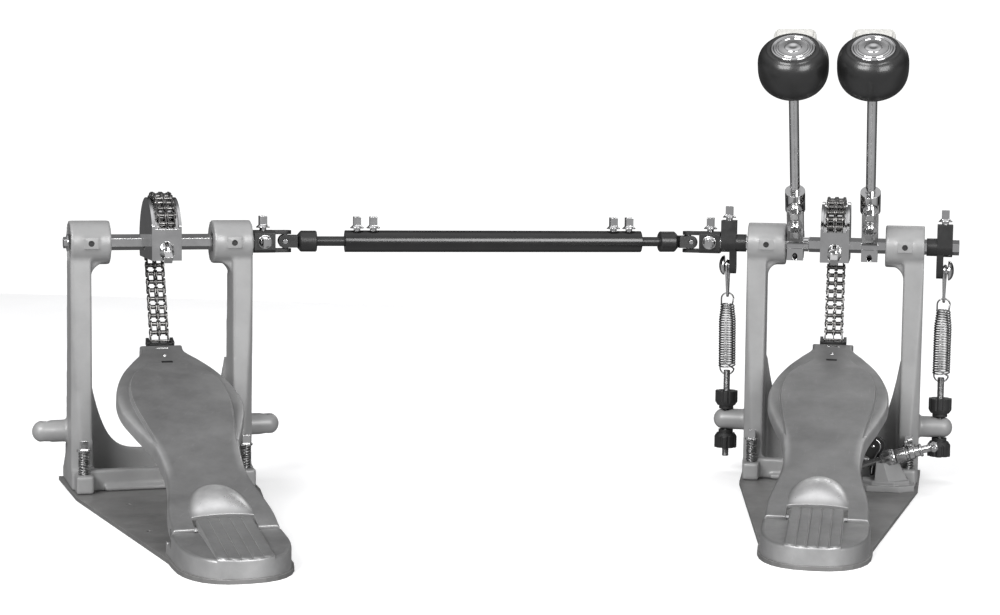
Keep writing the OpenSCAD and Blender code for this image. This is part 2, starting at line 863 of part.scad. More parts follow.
function chain_pin_at(i) = i > 0
    ? [cam_pitch_r * cos(i * link_turn - chain_lean), axle_h + cam_pitch_r * sin(i * link_turn - chain_lean)]
    : [cam_pitch_r * cos(chain_lean) + i * chain_pitch * sin(chain_lean),
        axle_h - cam_pitch_r * sin(chain_lean) + i * chain_pitch * cos(chain_lean)];

module link_plate(x) {
    translate([x, 0, 0]) across(link_t) {
        circle(plate_r, $fn = 24);
        translate([chain_pitch, 0]) circle(plate_r, $fn = 24);
        translate([0, -waist_r]) square([chain_pitch, 2 * waist_r]);
    }
}

// Inner link: on each strand two plates on two rollers
module inner_link() {
    edge = window_w / 2;
    for (s = [-1, 1]) translate([s * strand_gap / 2, 0, 0]) difference() {
        union() {
            link_plate(-edge - link_t / 2);
            link_plate(edge + link_t / 2);
            for (y = [0, chain_pitch]) translate([0, y, 0])
                bar_x(roller_r, -edge, edge);
        }
        for (y = [0, chain_pitch]) translate([0, y, 0])
            bar_x(chain_bore_r, -edge - 2, edge + 2);
    }
}

// Outer link: two outer plates and a thin middle one on two long pins
module outer_link() {
    outer = strand_gap / 2 + window_w / 2 + link_t + 0.1;
    for (s = [-1, 1]) link_plate(s * (outer + link_t / 2));
    for (y = [0, chain_pitch]) translate([0, y, 0])
        bar_x(chain_pin_r, -outer - link_t - 0.4, outer + link_t + 0.4);
}

module chain_links(from, to) {
    for (i = [from:to - 1]) {
        a = chain_pin_at(i);
        b = chain_pin_at(i + 1);
        if (i == -run_links) translate([0, a.x, a.y])
            bar_x(chain_pin_r, 0.6 - toe_w / 2, toe_w / 2 - 0.6);
        translate([0, a.x, a.y]) rotate([atan2(b.y - a.y, b.x - a.x), 0, 0])
            if ((i + run_links) % 2 == 0) outer_link();
            else inner_link();
    }
}

// Cam: two cheeks, the rim that the chain lies on, the hub and the front plate

module cam_face(r) {
    intersection() {
        circle(r);
        translate([-cam_front, -cam_low]) square([2 * cheek_r + cam_front, 2 * cheek_r + cam_low]);
    }
}

module cam_screw_place() {
    translate([0, -cam_front - 1, cam_screw_z]) rotate([90 + cam_screw_tilt, 0, 0]) children();
}

module cam() {
    at_axle() difference() {
        union() {
            for (s = [-1, 1]) translate([s * (cam_w - cheek_t) / 2, 0, 0]) across(cheek_t) cam_face(cheek_r);
            across(cam_w - cheek_t) difference() {
                cam_face(rim_r);
                circle(rim_r - 7);
            }
            across(cam_w - cheek_t) translate([-cam_front, -cam_low])
                square([cam_plate_t, cam_low + cam_plate_top]);
            across(cam_w - cheek_t) intersection() {
                cam_face(rim_r - 6);
                translate([-cam_front, -cam_low]) square([cam_front, 5]);
            }
            bar_x(cam_hub_r, -cam_w / 2, cam_w / 2);
            intersection() {
                cam_screw_place() translate([0, 0, -14]) cylinder(r = 5.6, h = 14);
                translate([-cam_room / 2, -cam_front - 6, -cam_low - 6]) cube([cam_room, cam_room, cam_room]);
            }
        }
        hex_x(hex_r + fit, -cam_w, cam_w);
        cam_screw_place() {
            key_hole(cam_screw_len + 2);
            cylinder(r = key_flange_r + 0.3, h = 20);
        }
    }
}

// Beater hubs and beaters: z runs along the rod from the axle, y points at the drum

module at_beater(x) {
    translate([x, 0, axle_h]) rotate([beater_lean, 0, 0]) children();
}

module hub_screw_places() {
    for (z = [hub_screw_low, hub_screw_high])
        translate([0, -hub_boss, z]) rotate([90, 0, 0]) children();
}

module hub(hexed) {
    difference() {
        union() {
            bar_x(hub_ring_r, -hub_w / 2, hub_w / 2);
            translate([-hub_w / 2, -hub_depth / 2, 0]) cube([hub_w, hub_depth, socket_top - socket_len + 2]);
            translate([0, 0, socket_top - socket_len]) cylinder(r = socket_r, h = socket_len);
            hub_screw_places() translate([0, 0, -hub_boss]) cylinder(r = key_flange_r + 0.4, h = hub_boss);
            rotate([-beater_lean, 0, 0]) translate([0, -hub_ring_r + 3, -8])
                cube([hub_w, 6, 10], center = true);
        }
        translate([0, 0, rod_start - 8.5]) cylinder(r = rod_d / 2 + run, h = socket_top);
        hub_screw_places() key_hole(hub_boss);
        rotate([90 - beater_lean + 40, 0, 0]) cylinder(r = 2.2, h = 30);
        if (hexed) rotate([-beater_lean, 0, 0]) hex_x(hex_r + fit, -hub_w, hub_w);
        else bar_x(sleeve_r + fit, -hub_w, hub_w);
    }
}

module hub_screws() {
    hub_screw_places() key_screw(hub_boss - rod_d / 2 - 0.2);
}

module beater_rod() {
    translate([0, 0, rod_start]) cylinder(r = rod_d / 2, h = beater_len + head_up - 8 - rod_start);
}

// A round head, cut flat where the felt and the cap sit
module beater_head() {
    translate([0, 0, beater_len]) difference() {
        rotate_extrude() difference() {
            polygon(concat([[0, head_up], [0, -head_down]], [for (a = [-84:6:66])
                [head_r * pow(cos(a), head_power), min(head_up,
                    (a < 0 ? head_down : head_round) * sign(a) * pow(abs(sin(a)), head_power))]]));
            translate([0, head_up - cap_t]) square([cap_r + fit, cap_t + past]);
        }
        translate([0, 0, -head_down - past])
            cylinder(r = rod_d / 2 + fit, h = head_down + head_up - 7);
        translate([-head_r, felt_face, -head_down]) cube([2 * head_r, head_r, head_down + head_up]);
    }
}

module beater_cap() {
    translate([0, 0, beater_len + head_up - cap_t]) cylinder(r = cap_r, h = cap_t);
}

module beater_felt() {
    r = 4;
    translate([0, felt_out, beater_len]) rotate([90, 0, 0]) linear_extrude(felt_out - felt_face) {
        for (x = [-1, 1], z = [felt_up - r, r - felt_down])
            translate([x * (felt_w / 2 - r), z]) circle(r);
        translate([-felt_w / 2, r - felt_down]) square([felt_w, felt_up + felt_down - 2 * r]);
        translate([r - felt_w / 2, -felt_down]) square([felt_w - 2 * r, felt_up + felt_down]);
    }
}

// Rocker on the outer end of an axle: a collar, a clamp block and the lever below

module rocker(hexed) {
    at_axle() difference() {
        union() {
            bar_x(collar_r, housing_out + collar_gap, rocker_in + 1);
            translate([(rocker_in + rocker_out) / 2, 0, 0]) across(rocker_w) {
                circle(rocker_half);
                translate([-rocker_half, 0]) square([2 * rocker_half, rocker_top]);
            }
            translate([rocker_in + lever_t / 2, 0, 0]) across(lever_t) rotate(line_lean) {
                translate([-lever_half, -lever_low + lever_half]) square([2 * lever_half, lever_low - lever_half]);
                translate([0, -lever_low + lever_half]) circle(lever_half);
            }
        }
        if (hexed) hex_x(hex_r + fit, housing_out, rocker_out + past);
        else bar_x(sleeve_r + fit, housing_out, rocker_out + past);
        translate([(rocker_in + rocker_out) / 2, 0, rocker_top]) key_hole(rocker_top);
        rotate([line_lean, 0, 0]) translate([0, 0, -stud_drop])
            bar_x(stud_r + fit, rocker_in - past, rocker_out);
    }
}

module rocker_screw() {
    at_axle() translate([(rocker_in + rocker_out) / 2, 0, rocker_top])
        key_screw(rocker_top - hex_r - 0.2, key_gap);
}

module spring_stud() {
    at_line() translate([0, 0, stud_z]) {
        bar_x(stud_r, rocker_in + 0.5, rod_x + hook_t / 2 + 1);
        translate([rod_x + hook_t / 2 + 0.4, 0, 0]) rotate([0, 90, 0]) rotate_extrude()
            polygon(concat([[0, 0]], [for (a = [0:15:90]) [button_r * cos(a), 1 + (button_t - 1) * sin(a)]]));
    }
}

// Long link that hangs on the stud and carries the spring
module spring_hook() {
    low = hook_low + hook_wire + hook_r;
    at_line() translate([rod_x, 0, 0]) across(hook_t) difference() {
        union() {
            translate([0, stud_z]) circle(hook_r + hook_wire);
            translate([0, low]) circle(hook_r + hook_wire);
            translate([-hook_r - hook_wire, low]) square([2 * (hook_r + hook_wire), stud_z - low]);
        }
        translate([0, stud_z]) circle(hook_r);
        translate([0, low]) circle(hook_r);
        translate([-hook_r, low]) square([2 * hook_r, stud_z - low]);
    }
}

module return_spring() {
    at_line() translate([rod_x, 0, 0]) tube_along(spring_points(), wire_d / 2, [0, 1, 0]);
}

module tension_rod(tail) {
    translate([rod_x, arm_y, 0]) difference() {
        translate([0, 0, arm_z - tail]) cylinder(r = rod_r, h = rod_eye + 3.8 - arm_z + tail);
        translate([0, 0, rod_eye + 0.5]) bar_x(wire_d / 2 + 0.9, -rod_r - past, rod_r + past);
    }
}

// Fluted knob: its thin end towards the side arm
module knob() {
    difference() {
        union() {
            cylinder(r = 6.2, h = 3.2);
            translate([0, 0, 3]) cylinder(r1 = 7.6, r2 = knob_r, h = 3);
            translate([0, 0, 6]) cylinder(r = knob_r, h = knob_h - 6);
        }
        for (i = [0:knob_flutes - 1]) rotate(i * 360 / knob_flutes)
            translate([knob_r + 0.6, 0, 5]) cylinder(r = 1.4, h = knob_h);
        translate([0, 0, -past]) cylinder(r = rod_r + run, h = knob_h + 2 * past);
    }
}

module knobs() {
    translate([rod_x, arm_y, arm_top + 0.05]) knob();
    translate([rod_x, arm_y, arm_low - 0.05]) rotate([180, 0, 0]) knob();
}

module spurs() {
    both_sides() translate([spur_x, -spur_y, 0]) {
        translate([0, 0, spur_tip]) cylinder(r1 = 0.8, r2 = spur_r, h = 4);
        translate([0, 0, spur_tip + 3.99]) cylinder(r = spur_r, h = spur_top - spur_tip - 3);
        translate([0, 0, spur_top]) cylinder(r = key_flange_r, h = key_flange_t);
        translate([-key_af / 2, -key_af / 2, spur_top + key_flange_t]) cube([key_af, key_af, key_head - 1]);
    }
}

module spur_springs() {
    translate([spur_x, -spur_y, 0]) tube_along(spur_points(), spur_wire / 2, [1, 0, 0]);
    translate([-spur_x, -spur_y, 0]) tube_along(spur_points(), spur_wire / 2, [1, 0, 0]);
}

// Universal joints

// Outer yoke: its block starts at the origin, its ears stand above and below
module outer_yoke(hexed) {
    half = yoke_size / 2;
    difference() {
        union() {
            intersection() {
                translate([0, -half, -half]) cube([yoke_block, yoke_size, yoke_size]);
                bar_x(half * 1.25, 0, yoke_block);
            }
            for (s = [0, 1]) mirror([0, 0, s]) translate([0, 0, ear_gap]) linear_extrude(half - ear_gap) {
                translate([yoke_pin, 0]) circle(ear_r);
                translate([yoke_block - 1, -ear_r]) square([yoke_pin - yoke_block + 1, 2 * ear_r]);
            }
        }
        if (hexed) hex_x(hex_r + fit, -past, yoke_block - 2);
        else bar_x(sleeve_r + fit, -past, yoke_block - 2);
        translate([yoke_block / 2, 0, half]) key_hole(half);
        translate([yoke_block / 2, -half, 0]) rotate([90, 0, 0]) key_hole(half);
        translate([yoke_pin, 0, -half - past]) cylinder(r = cross_hole_r, h = yoke_size + 2 * past);
    }
}

module yoke_screws(inner) {
    half = yoke_size / 2;
    translate([yoke_block / 2, 0, half]) key_screw(half - inner - 0.2, key_gap);
    translate([yoke_block / 2, -half, 0]) rotate([90, 0, 0]) key_screw(half - inner - 0.2);
}

// Inner yoke: fork front and back of the pin, a barrel, and a rod into the tube
module inner_yoke(rod_end) {
    difference() {
        union() {
            for (s = [0, 1]) mirror([0, s, 0]) translate([0, fork_gap, 0]) rotate([-90, 0, 0])
                linear_extrude(fork_half - fork_gap) {
                    circle(fork_reach);
                    translate([0, -fork_h / 2]) square([fork_root + 1, fork_h]);
                }
            translate([fork_root, -fork_half, -fork_h / 2]) cube([2.5, 2 * fork_half, fork_h]);
            rotate([0, 90, 0]) rotate_extrude() polygon([[0, fork_root], [neck_r, fork_root],
                [neck_r, barrel_start - 2.6], [barrel_r - 0.8, barrel_start], [barrel_r, barrel_start + 1],
                [barrel_r, barrel_end - 0.8],
                [barrel_r - 0.8, barrel_end], [0, barrel_end]]);
            bar_x(link_rod_d / 2, barrel_end - 1, rod_end);
        }
        rotate([90, 0, 0]) cylinder(r = cross_hole_r, h = 2 * barrel_end, center = true);
    }
}

module joint_cross() {
    cube(2 * cross_half, center = true);
    cylinder(r = cross_pin_r, h = yoke_size - 0.4, center = true);
    rotate([90, 0, 0]) cylinder(r = cross_pin_r, h = 2 * fork_half - 0.2, center = true);
}

module tube_screw_places() {
    for (x = [tube_screw_near, tube_screw_far, tube_len - tube_screw_far, tube_len - tube_screw_near])
        translate([tube_start + x, 0, tube_d / 2 - 0.5]) children();
}

module tube() {
    difference() {
        bar_x(tube_d / 2, tube_start, tube_start + tube_len);
        bar_x(link_rod_d / 2 + run, tube_start - past, tube_start + tube_len + past);
        tube_screw_places() {
            key_hole(tube_d / 2);
        }
    }
}

// Hoop clamp: a base beside the footboard, a jaw through the frame's window, a T screw

module at_t_screw() {
    translate([t_x, -clamp_y, t_z]) rotate([0, -t_angle, 0]) children();
}

module hoop_clamp_base() {
    difference() {
        union() {
            translate([0, -clamp_y - 18, plate_t]) linear_extrude(clamp_foot_t) polygon([
                [clamp_foot_in + 6, 0], [clamp_foot_out - 12, 0], [clamp_foot_out, 9],
                [clamp_foot_out, clamp_foot_y], [clamp_foot_in, clamp_foot_y], [clamp_foot_in, 6]]);
            translate([0, -clamp_y - 14, plate_t + clamp_foot_t - 0.1]) linear_extrude(clamp_step_t) polygon([
                [clamp_foot_in + 2, 6], [clamp_foot_in + 10, 0], [clamp_foot_out - 16, 0], [clamp_foot_out - 4, 9],
                [clamp_foot_out - 4, clamp_foot_y - 5], [clamp_foot_in + 2, clamp_foot_y - 5]]);
            translate([t_x, -clamp_y, plate_t + clamp_foot_t]) cylinder(r1 = horn_low_r, r2 = horn_top_r,
                h = t_z - plate_t - clamp_foot_t);
            at_t_screw() bar_x(horn_boss_r, -horn_top_r, horn_top_r);
        }
        at_t_screw() bar_x(t_r + run, -t_inner, t_outer);
    }
    for (s = [-1, 1]) translate([s * (claw_half_w + 5.5), clamp_pivot.x, 0]) difference() {
        translate([-lug_t / 2, -lug_half, plate_t]) cube([lug_t, 2 * lug_half, clamp_pivot.y + lug_half - plate_t]);
        translate([0, 0, clamp_pivot.y]) bar_x(clamp_shaft_r + run, -lug_t, lug_t);
    }
}

module t_screw() {
    at_t_screw() {
        bar_x(t_r, -t_inner, t_outer);
        bar_x(t_collar_r, t_outer - t_collar_in, t_outer - t_collar_in + t_collar_len);
        translate([t_outer, 0, 0]) rotate([90, 0, 0]) cylinder(r = t_bar_r, h = t_bar_len, center = true);
    }
}

module jaw() {
    p = clamp_pivot;
    claw_low = plate_t + hoop_gap;
    translate([0, p.x, p.y]) bar_x(clamp_shaft_r, -claw_half_w - 8.5, lever_x + lever_w / 2);
    across(2 * claw_half_w) polygon([
        [p.x - 3, p.y - 3], [p.x + 6, claw_low + 1], [claw_back - 12, claw_low + 1],
        [claw_back - 10, claw_low], [claw_back, claw_low], [claw_back, claw_low + claw_t],
        [p.x + 8, claw_low + claw_t + 1], [p.x - 3, p.y + 3]]);
    translate([lever_x, 0, 0]) across(lever_w) {
        translate(p) circle(6.5);
        polygon([[p.x - 5, p.y - 3], [p.x + 5, p.y + 4], [-12, bar_h + 14], [-30, bar_h + 20],
            [-37, bar_h + 16], [-31, bar_h + 8], [-22, bar_h + 3.5], [-10, bar_h + 2.5]]);
        translate([-33, bar_h + 14]) circle(5.5);
    }
}

// Assembled nodes

module main_frame() { color("silver") frame(true); }
module main_base_plate() { color("gray") base_plate([]); }
module main_heel_plate() { color("silver") heel_plate(); }
module main_hardware() { color("lightgray") hardware(); }
module main_bearings() { color("lightgray") bearings(); }
module tension_rods() { color("lightgray") tension_rod(rod_tail); mirror([1, 0, 0]) tension_rod(rod_tail_left); }
module main_spur_springs() { color("lightgray") spur_springs(); }
module clamp_base() { color("silver") hoop_clamp_base(); }
module main_footboard() { color("silver") footboard(); }
module main_toe_clamp() { color("dimgray") toe_clamp(); }
module primary_shaft() {
    color("lightgray") {
        at_axle() {
            hex_x(hex_r, -sleeve_end + 0.4, shaft_end);
            bar_x(spigot_r, -rocker_in, -sleeve_end + 0.5);
        }
        at_axle() translate([housing_x, 0, 0]) inner_race(true);
    }
}
module main_cam() { color("lightgray") cam(); }
module primary_key_screws() {
    color("lightgray") {
        rocker_screw();
        spring_stud();
        at_beater(right_hub_x) hub_screws();
        at_axle() cam_screw_place() key_screw(cam_screw_len);
    }
}
module main_chain_wrap() { color("gray") chain_links(bend_links, bend_links + wrap_links); }
module main_chain_free() { color("gray") chain_links(-run_links, bend_links); }
module right_hub() { color("lightgray") at_beater(right_hub_x) hub(true); }
module right_rocker() { color("dimgray") rocker(true); }
module right_beater_rod() { color("lightgray") at_beater(right_hub_x) beater_rod(); }
module right_beater_head() { color("black") at_beater(right_hub_x) beater_head(); }
module right_beater_felt() { color("white") at_beater(right_hub_x) beater_felt(); }
module right_beater_cap() { color("lightgray") at_beater(right_hub_x) beater_cap(); }
module right_spring_hook() { color("lightgray") spring_hook(); }
module right_spring() { color("lightgray") return_spring(); }
module secondary_sleeve() {
    color("lightgray") {
        at_axle() difference() {
            bar_x(sleeve_r, -main_pin_x + yoke_pin - yoke_block + 3, -sleeve_end);
            bar_x(spigot_r + run, -rocker_in - 1, 0);
        }
        at_axle() translate([-housing_x, 0, 0]) inner_race(false);
    }
}
module left_hub() { color("lightgray") at_beater(-left_hub_x) hub(false); }
module left_rocker() { color("dimgray") mirror([1, 0, 0]) rocker(false); }
module at_main_yoke() {
    at_axle() translate([-main_pin_x + yoke_pin, 0, 0]) mirror([1, 0, 0]) children();
}
module secondary_key_screws() {
    color("lightgray") {
        mirror([1, 0, 0]) rocker_screw();
        mirror([1, 0, 0]) spring_stud();
        at_beater(-left_hub_x) hub_screws();
        at_main_yoke() yoke_screws(sleeve_r);
    }
}
module main_outer_yoke() { color("dimgray") at_main_yoke() outer_yoke(false); }
module left_beater_rod() { color("lightgray") at_beater(-left_hub_x) beater_rod(); }
module left_beater_head() { color("black") at_beater(-left_hub_x) beater_head(); }
module left_beater_felt() { color("white") at_beater(-left_hub_x) beater_felt(); }
module left_beater_cap() { color("lightgray") at_beater(-left_hub_x) beater_cap(); }
module left_spring_hook() { color("lightgray") mirror([1, 0, 0]) spring_hook(); }
module left_spring() {
    color("lightgray") translate([-2 * rod_x, 0, 0]) return_spring();
}
module slave_frame() { color("silver") at_slave() frame(false); }
module slave_base_plate() { color("gray") at_slave() base_plate([82, 188]); }
module slave_heel_plate() { color("silver") at_slave() heel_plate(); }
module slave_hardware() { color("lightgray") at_slave() hardware(); }
module slave_bearings() { color("lightgray") at_slave() bearings(); }
module slave_spur_springs() { color("lightgray") at_slave() spur_springs(); }
module slave_footboard() { color("silver") at_slave() footboard(); }
module slave_toe_clamp() { color("dimgray") at_slave() toe_clamp(); }
module at_slave_yoke() {
    at_slave() at_axle() translate([housing_out + collar_gap, 0, 0]) children();
}
end_bolt_r = 7;
module slave_shaft() {
    color("lightgray") {
        at_slave() at_axle() difference() {
            hex_x(hex_r, -housing_out + 1, housing_out + collar_gap + yoke_block - 3);
            bar_x(bolt_r + fit, -housing_out - past, -housing_out + 16);
        }
        at_slave() at_axle() for (s = [-1, 1]) translate([s * housing_x, 0, 0]) inner_race(true);
    }
}
module slave_cam() { color("lightgray") at_slave() cam(); }
module slave_key_screws() {
    color("lightgray") {
        at_slave() at_axle() cam_screw_place() key_screw(cam_screw_len);
        at_slave_yoke() yoke_screws(hex_r);
        at_slave() at_axle() {
            bar_x(bolt_r, -housing_out - 1, -housing_out + 14);
            bar_x(end_bolt_r, -housing_out - 1.2, -housing_out + 0.98);
            hex_x(4.6, -housing_out - 4, -housing_out - 1);
        }
    }
}
module slave_chain_wrap() { color("gray") at_slave() chain_links(bend_links, bend_links + wrap_links); }
module slave_outer_yoke() { color("dimgray") at_slave_yoke() outer_yoke(true); }
module slave_chain_free() { color("gray") at_slave() chain_links(-run_links, bend_links); }
module linkage_tube() { color("black") at_link() tube(); }
module tube_screws() {
    color("lightgray") at_link() tube_screw_places() key_screw(tube_d / 2 - link_rod_d / 2 - 0.7, key_gap);
}
module right_inner_yoke() {
    color("dimgray") at_right_joint() inner_yoke(link_len - tube_start - tube_len + rod_in);
}
module left_inner_yoke() { color("dimgray") at_link() inner_yoke(tube_start + rod_in); }
module left_cross() { color("lightgray") at_link() joint_cross(); }
module right_cross() { color("lightgray") at_right_joint() joint_cross(); }
module left_knobs() { color("black") mirror([1, 0, 0]) knobs(); }
module right_knobs() { color("black") knobs(); }
module main_spurs() { color("lightgray") spurs(); }
module slave_spurs() { color("lightgray") at_slave() spurs(); }
module clamp_screw() { color("lightgray") t_screw(); }
module clamp_jaw() { color("gray") jaw(); }

main_frame();
main_base_plate();
main_heel_plate();
main_hardware();
main_bearings();
tension_rods();
main_spur_springs();
clamp_base();
main_footboard();
main_toe_clamp();
primary_shaft();
main_cam();
primary_key_screws();
main_chain_wrap();
right_hub();
right_rocker();
main_chain_free();
right_beater_rod();
right_beater_head();
right_beater_felt();
right_beater_cap();
right_spring_hook();
right_spring();
secondary_sleeve();
left_hub();
left_rocker();
secondary_key_screws();
main_outer_yoke();
left_beater_rod();
left_beater_head();
left_beater_felt();
left_beater_cap();
left_spring_hook();
left_spring();
slave_frame();
slave_base_plate();
slave_heel_plate();
slave_hardware();
slave_bearings();
slave_spur_springs();
slave_footboard();
slave_toe_clamp();
slave_shaft();
slave_cam();
slave_key_screws();
slave_chain_wrap();
slave_outer_yoke();
slave_chain_free();
linkage_tube();
tube_screws();
right_inner_yoke();
left_inner_yoke();
left_cross();
right_cross();
left_knobs();
right_knobs();
main_spurs();
slave_spurs();
clamp_screw();
clamp_jaw();
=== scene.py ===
"""Double bass drum pedal. Millimetres in the shapes, metres in Blender, in the row's frame:
X along the main axle, +Y towards the drum, +Z up, origin on the floor under the main axle."""
import json
import math
import bmesh
import bpy
import numpy as np
from mathutils import Matrix


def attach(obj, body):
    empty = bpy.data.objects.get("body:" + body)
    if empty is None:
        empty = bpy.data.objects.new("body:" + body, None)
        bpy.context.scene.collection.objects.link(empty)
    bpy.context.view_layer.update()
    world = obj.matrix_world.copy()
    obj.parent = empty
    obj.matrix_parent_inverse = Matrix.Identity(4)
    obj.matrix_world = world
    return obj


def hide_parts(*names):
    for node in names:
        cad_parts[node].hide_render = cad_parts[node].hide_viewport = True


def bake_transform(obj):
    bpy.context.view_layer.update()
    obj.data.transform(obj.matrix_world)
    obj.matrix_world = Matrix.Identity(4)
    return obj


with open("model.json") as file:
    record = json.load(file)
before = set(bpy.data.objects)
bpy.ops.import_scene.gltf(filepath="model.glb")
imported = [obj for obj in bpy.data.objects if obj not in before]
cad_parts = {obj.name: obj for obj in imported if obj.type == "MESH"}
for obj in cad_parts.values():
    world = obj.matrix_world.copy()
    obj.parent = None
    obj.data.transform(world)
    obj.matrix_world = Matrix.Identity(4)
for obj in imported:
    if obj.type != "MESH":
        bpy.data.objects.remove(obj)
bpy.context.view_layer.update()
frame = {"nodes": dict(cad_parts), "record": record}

MM = 0.001
NODES = frame["nodes"]
rad = math.radians

# Stations shared with the part's source
AXLE_H = 200.0
MAIN_PIN_X = 123.6
SLAVE_PIN_X = 101.9
LINK_LEN = 343.0
LINK_ANGLE = 21.5
SLAVE_YAW = 29.7
ROD_X = 90.2
HINGE = (-276.5, 19.0)
BOARD_TILT = 18.336
BOARD_LEN = 293.03
LEAN = 37.0
HUBS = {"right": 28.1, "left": -33.25}
LINE_LEAN = 9.2
PITCH = 7.2
CAM_R = 37.5
CHAIN_LEAN = 22.4
RUN, BEND, WRAP = 10, 5, 11


def turned(points, angle, axis):
    """Points turned about a row axis through the origin by the angle in degrees."""
    return points @ np.array(Matrix.Rotation(rad(angle), 3, axis)).T


def at_slave(points):
    """Points of a pedal moved to the second pedal: turned by its yaw, then shifted so the pins meet."""
    pin = np.array([-MAIN_PIN_X - LINK_LEN * math.cos(rad(LINK_ANGLE)), -LINK_LEN * math.sin(rad(LINK_ANGLE)), 0])
    out = turned(np.array([SLAVE_PIN_X, 0, 0]), SLAVE_YAW, "Z")
    return turned(points, SLAVE_YAW, "Z") + pin - out


def at_beater(side):
    """A place for a beater's points: leaned towards the player and moved to its hub on the axle."""
    return lambda p: turned(p, LEAN, "X") + [HUBS[side], 0, AXLE_H]


def at_line(side):
    """A place for what hangs from the axle: leaned to a spring's line, on the side that the sign gives."""
    return lambda p: turned(p - [0, 0, AXLE_H], LINE_LEAN, "X") + [side * ROD_X, 0, AXLE_H]


def at_board(points):
    """Points given as x, along the board from the heel pin and square to it, put in the pedal's place."""
    return turned(points, BOARD_TILT, "X") + [0, HINGE[0], HINGE[1]]


# ---------------------------------------------------------------- surfaces

def quads(rows, cols, closed=False):
    """Faces of a grid of points, row by row; closed joins the last column to the first."""
    i = np.arange(rows - 1)[:, None]
    j = np.arange(cols if closed else cols - 1)[None, :]
    up, across = i + 1, (j + 1) % cols
    corners = [i * cols + j, i * cols + across, up * cols + across, up * cols + j]
    return np.stack(corners, -1).reshape(-1, 4).tolist()


def joined(*shells):
    """Several shells as one, each face list shifted by the points before it."""
    points, faces, start = [], [], 0
    for p, f in shells:
        points.append(p)
        faces += [[start + k for k in face] for face in f]
        start += len(p)
    return np.concatenate(points), faces


def lifted(shell, x, y, z):
    """A shell moved by three distances."""
    return shell[0] + [x, y, z], shell[1]


def flipped(shell):
    """A shell with its faces wound the other way."""
    return shell[0], [face[::-1] for face in shell[1]]


def mirrored(shell):
    """A shell and its mirror image in X."""
    return joined(shell, flipped((shell[0] * [-1, 1, 1], shell[1])))


def lofted(rings):
    """Closed rings joined in order, a flat face on the first and the last ring."""
    n, m = rings.shape[:2]
    caps = [list(range(m))[::-1], list(range((n - 1) * m, n * m))]
    return rings.reshape(-1, 3), quads(n, m, closed=True) + caps


def revolved(profile, sides):
    """A profile of (radius, height) turned about Z: x = r cos a, y = r sin a. It starts and ends on the axis."""
    profile = np.array(profile, float)
    a = np.linspace(0, 2 * np.pi, sides, endpoint=False)
    r, z = profile[1:-1, 0], profile[1:-1, 1]
    z = np.broadcast_to(z[:, None], (len(r), sides))
    ring = np.stack([r[:, None] * np.cos(a), r[:, None] * np.sin(a), z], -1)
    poles = np.array([[0, 0, profile[0, 1]], [0, 0, profile[-1, 1]]])
    n = len(r) * sides
    k = np.arange(sides)
    first = np.stack([np.full(sides, n), (k + 1) % sides, k], -1).tolist()
    last = np.stack([np.full(sides, n + 1), n - sides + k, n - sides + (k + 1) % sides], -1).tolist()
    return np.concatenate([ring.reshape(-1, 3), poles]), quads(len(r), sides, closed=True) + first + last


def swept(path, radius, sides, ends=True):
    """A round tube along a path: each ring is r(cos a N + sin a B), with N carried along without twist."""
    path = np.array(path, float)
    tangent = np.gradient(path, axis=0)
    tangent /= np.linalg.norm(tangent, axis=1)[:, None]
    normal = np.cross(tangent[0], [0.31, 0.86, 0.41])
    normals = []
    for t in tangent:
        normal = normal - (normal @ t) * t
        normal /= np.linalg.norm(normal)
        normals.append(normal)
    normals = np.array(normals)
    binormal = np.cross(tangent, normals)
    a = np.linspace(0, 2 * np.pi, sides, endpoint=False)[:, None]
    rings = path[:, None] + radius * (np.cos(a) * normals[:, None] + np.sin(a) * binormal[:, None])
    if ends:
        def round_end(k, way):
            b = np.array([0.38, 0.71, 0.92])[:, None, None]
            centre = path[k] + way * radius * b * tangent[k]
            return centre + np.sqrt(1 - b * b) * (rings[k] - path[k])
        rings = np.concatenate([round_end(0, -1)[::-1], rings, round_end(-1, 1)])
    return lofted(rings)


def outline(corners, radius):
    """A polygon's outline with its corners rounded: each gives way to a curve (1-t)^2 p + 2t(1-t) q + t^2 s between
    the points where an arc of that radius would touch."""
    c = np.array(corners, float)
    t = np.linspace(0, 1, 5)[:, None]
    out = []
    for k in range(len(c)):
        before, after = c[k - 1] - c[k], c[(k + 1) % len(c)] - c[k]
        lb, la = np.linalg.norm(before), np.linalg.norm(after)
        before, after = before / lb, after / la
        half = np.arccos(np.clip(before @ after, -1, 1)) / 2
        cut = min(radius / np.tan(half), 0.49 * lb, 0.49 * la)
        p, q, s = c[k] + cut * before, c[k], c[k] + cut * after
        out.append((1 - t) ** 2 * p + 2 * t * (1 - t) * q + t * t * s)
    return np.concatenate(out)


def inward(ring):
    """Unit normals of a closed flat outline that runs counter-clockwise, pointing inwards."""
    d = np.roll(ring, -1, 0) - np.roll(ring, 1, 0)
    d /= np.maximum(np.linalg.norm(d, axis=1), 1e-9)[:, None]
    return np.stack([-d[:, 1], d[:, 0]], 1)


def slab(ring, low, high, edge, steps=4):
    """A flat outline drawn up from low to high, its two rims rounded by the edge's radius."""
    a = np.linspace(0, np.pi / 2, steps)
    inset = np.concatenate([edge * (1 - np.sin(a)), edge * (1 - np.cos(a))])
    height = np.concatenate([low + edge * (1 - np.cos(a)), high - edge + edge * np.sin(a)])
    n = inward(ring)
    flat = ring[None] + inset[:, None, None] * n[None]
    rings = np.concatenate([flat, np.broadcast_to(height[:, None, None], flat.shape[:2] + (1,))], -1)
    return lofted(rings)


def on_side(shell):
    """A slab drawn in the plane of Y and Z, its height running along X."""
    return shell[0][:, [2, 0, 1]], shell[1]


def facing(shell):
    """A slab drawn in the plane of X and Z, its height running towards the player."""
    return shell[0][:, [0, 2, 1]] * [1, -1, 1], shell[1]


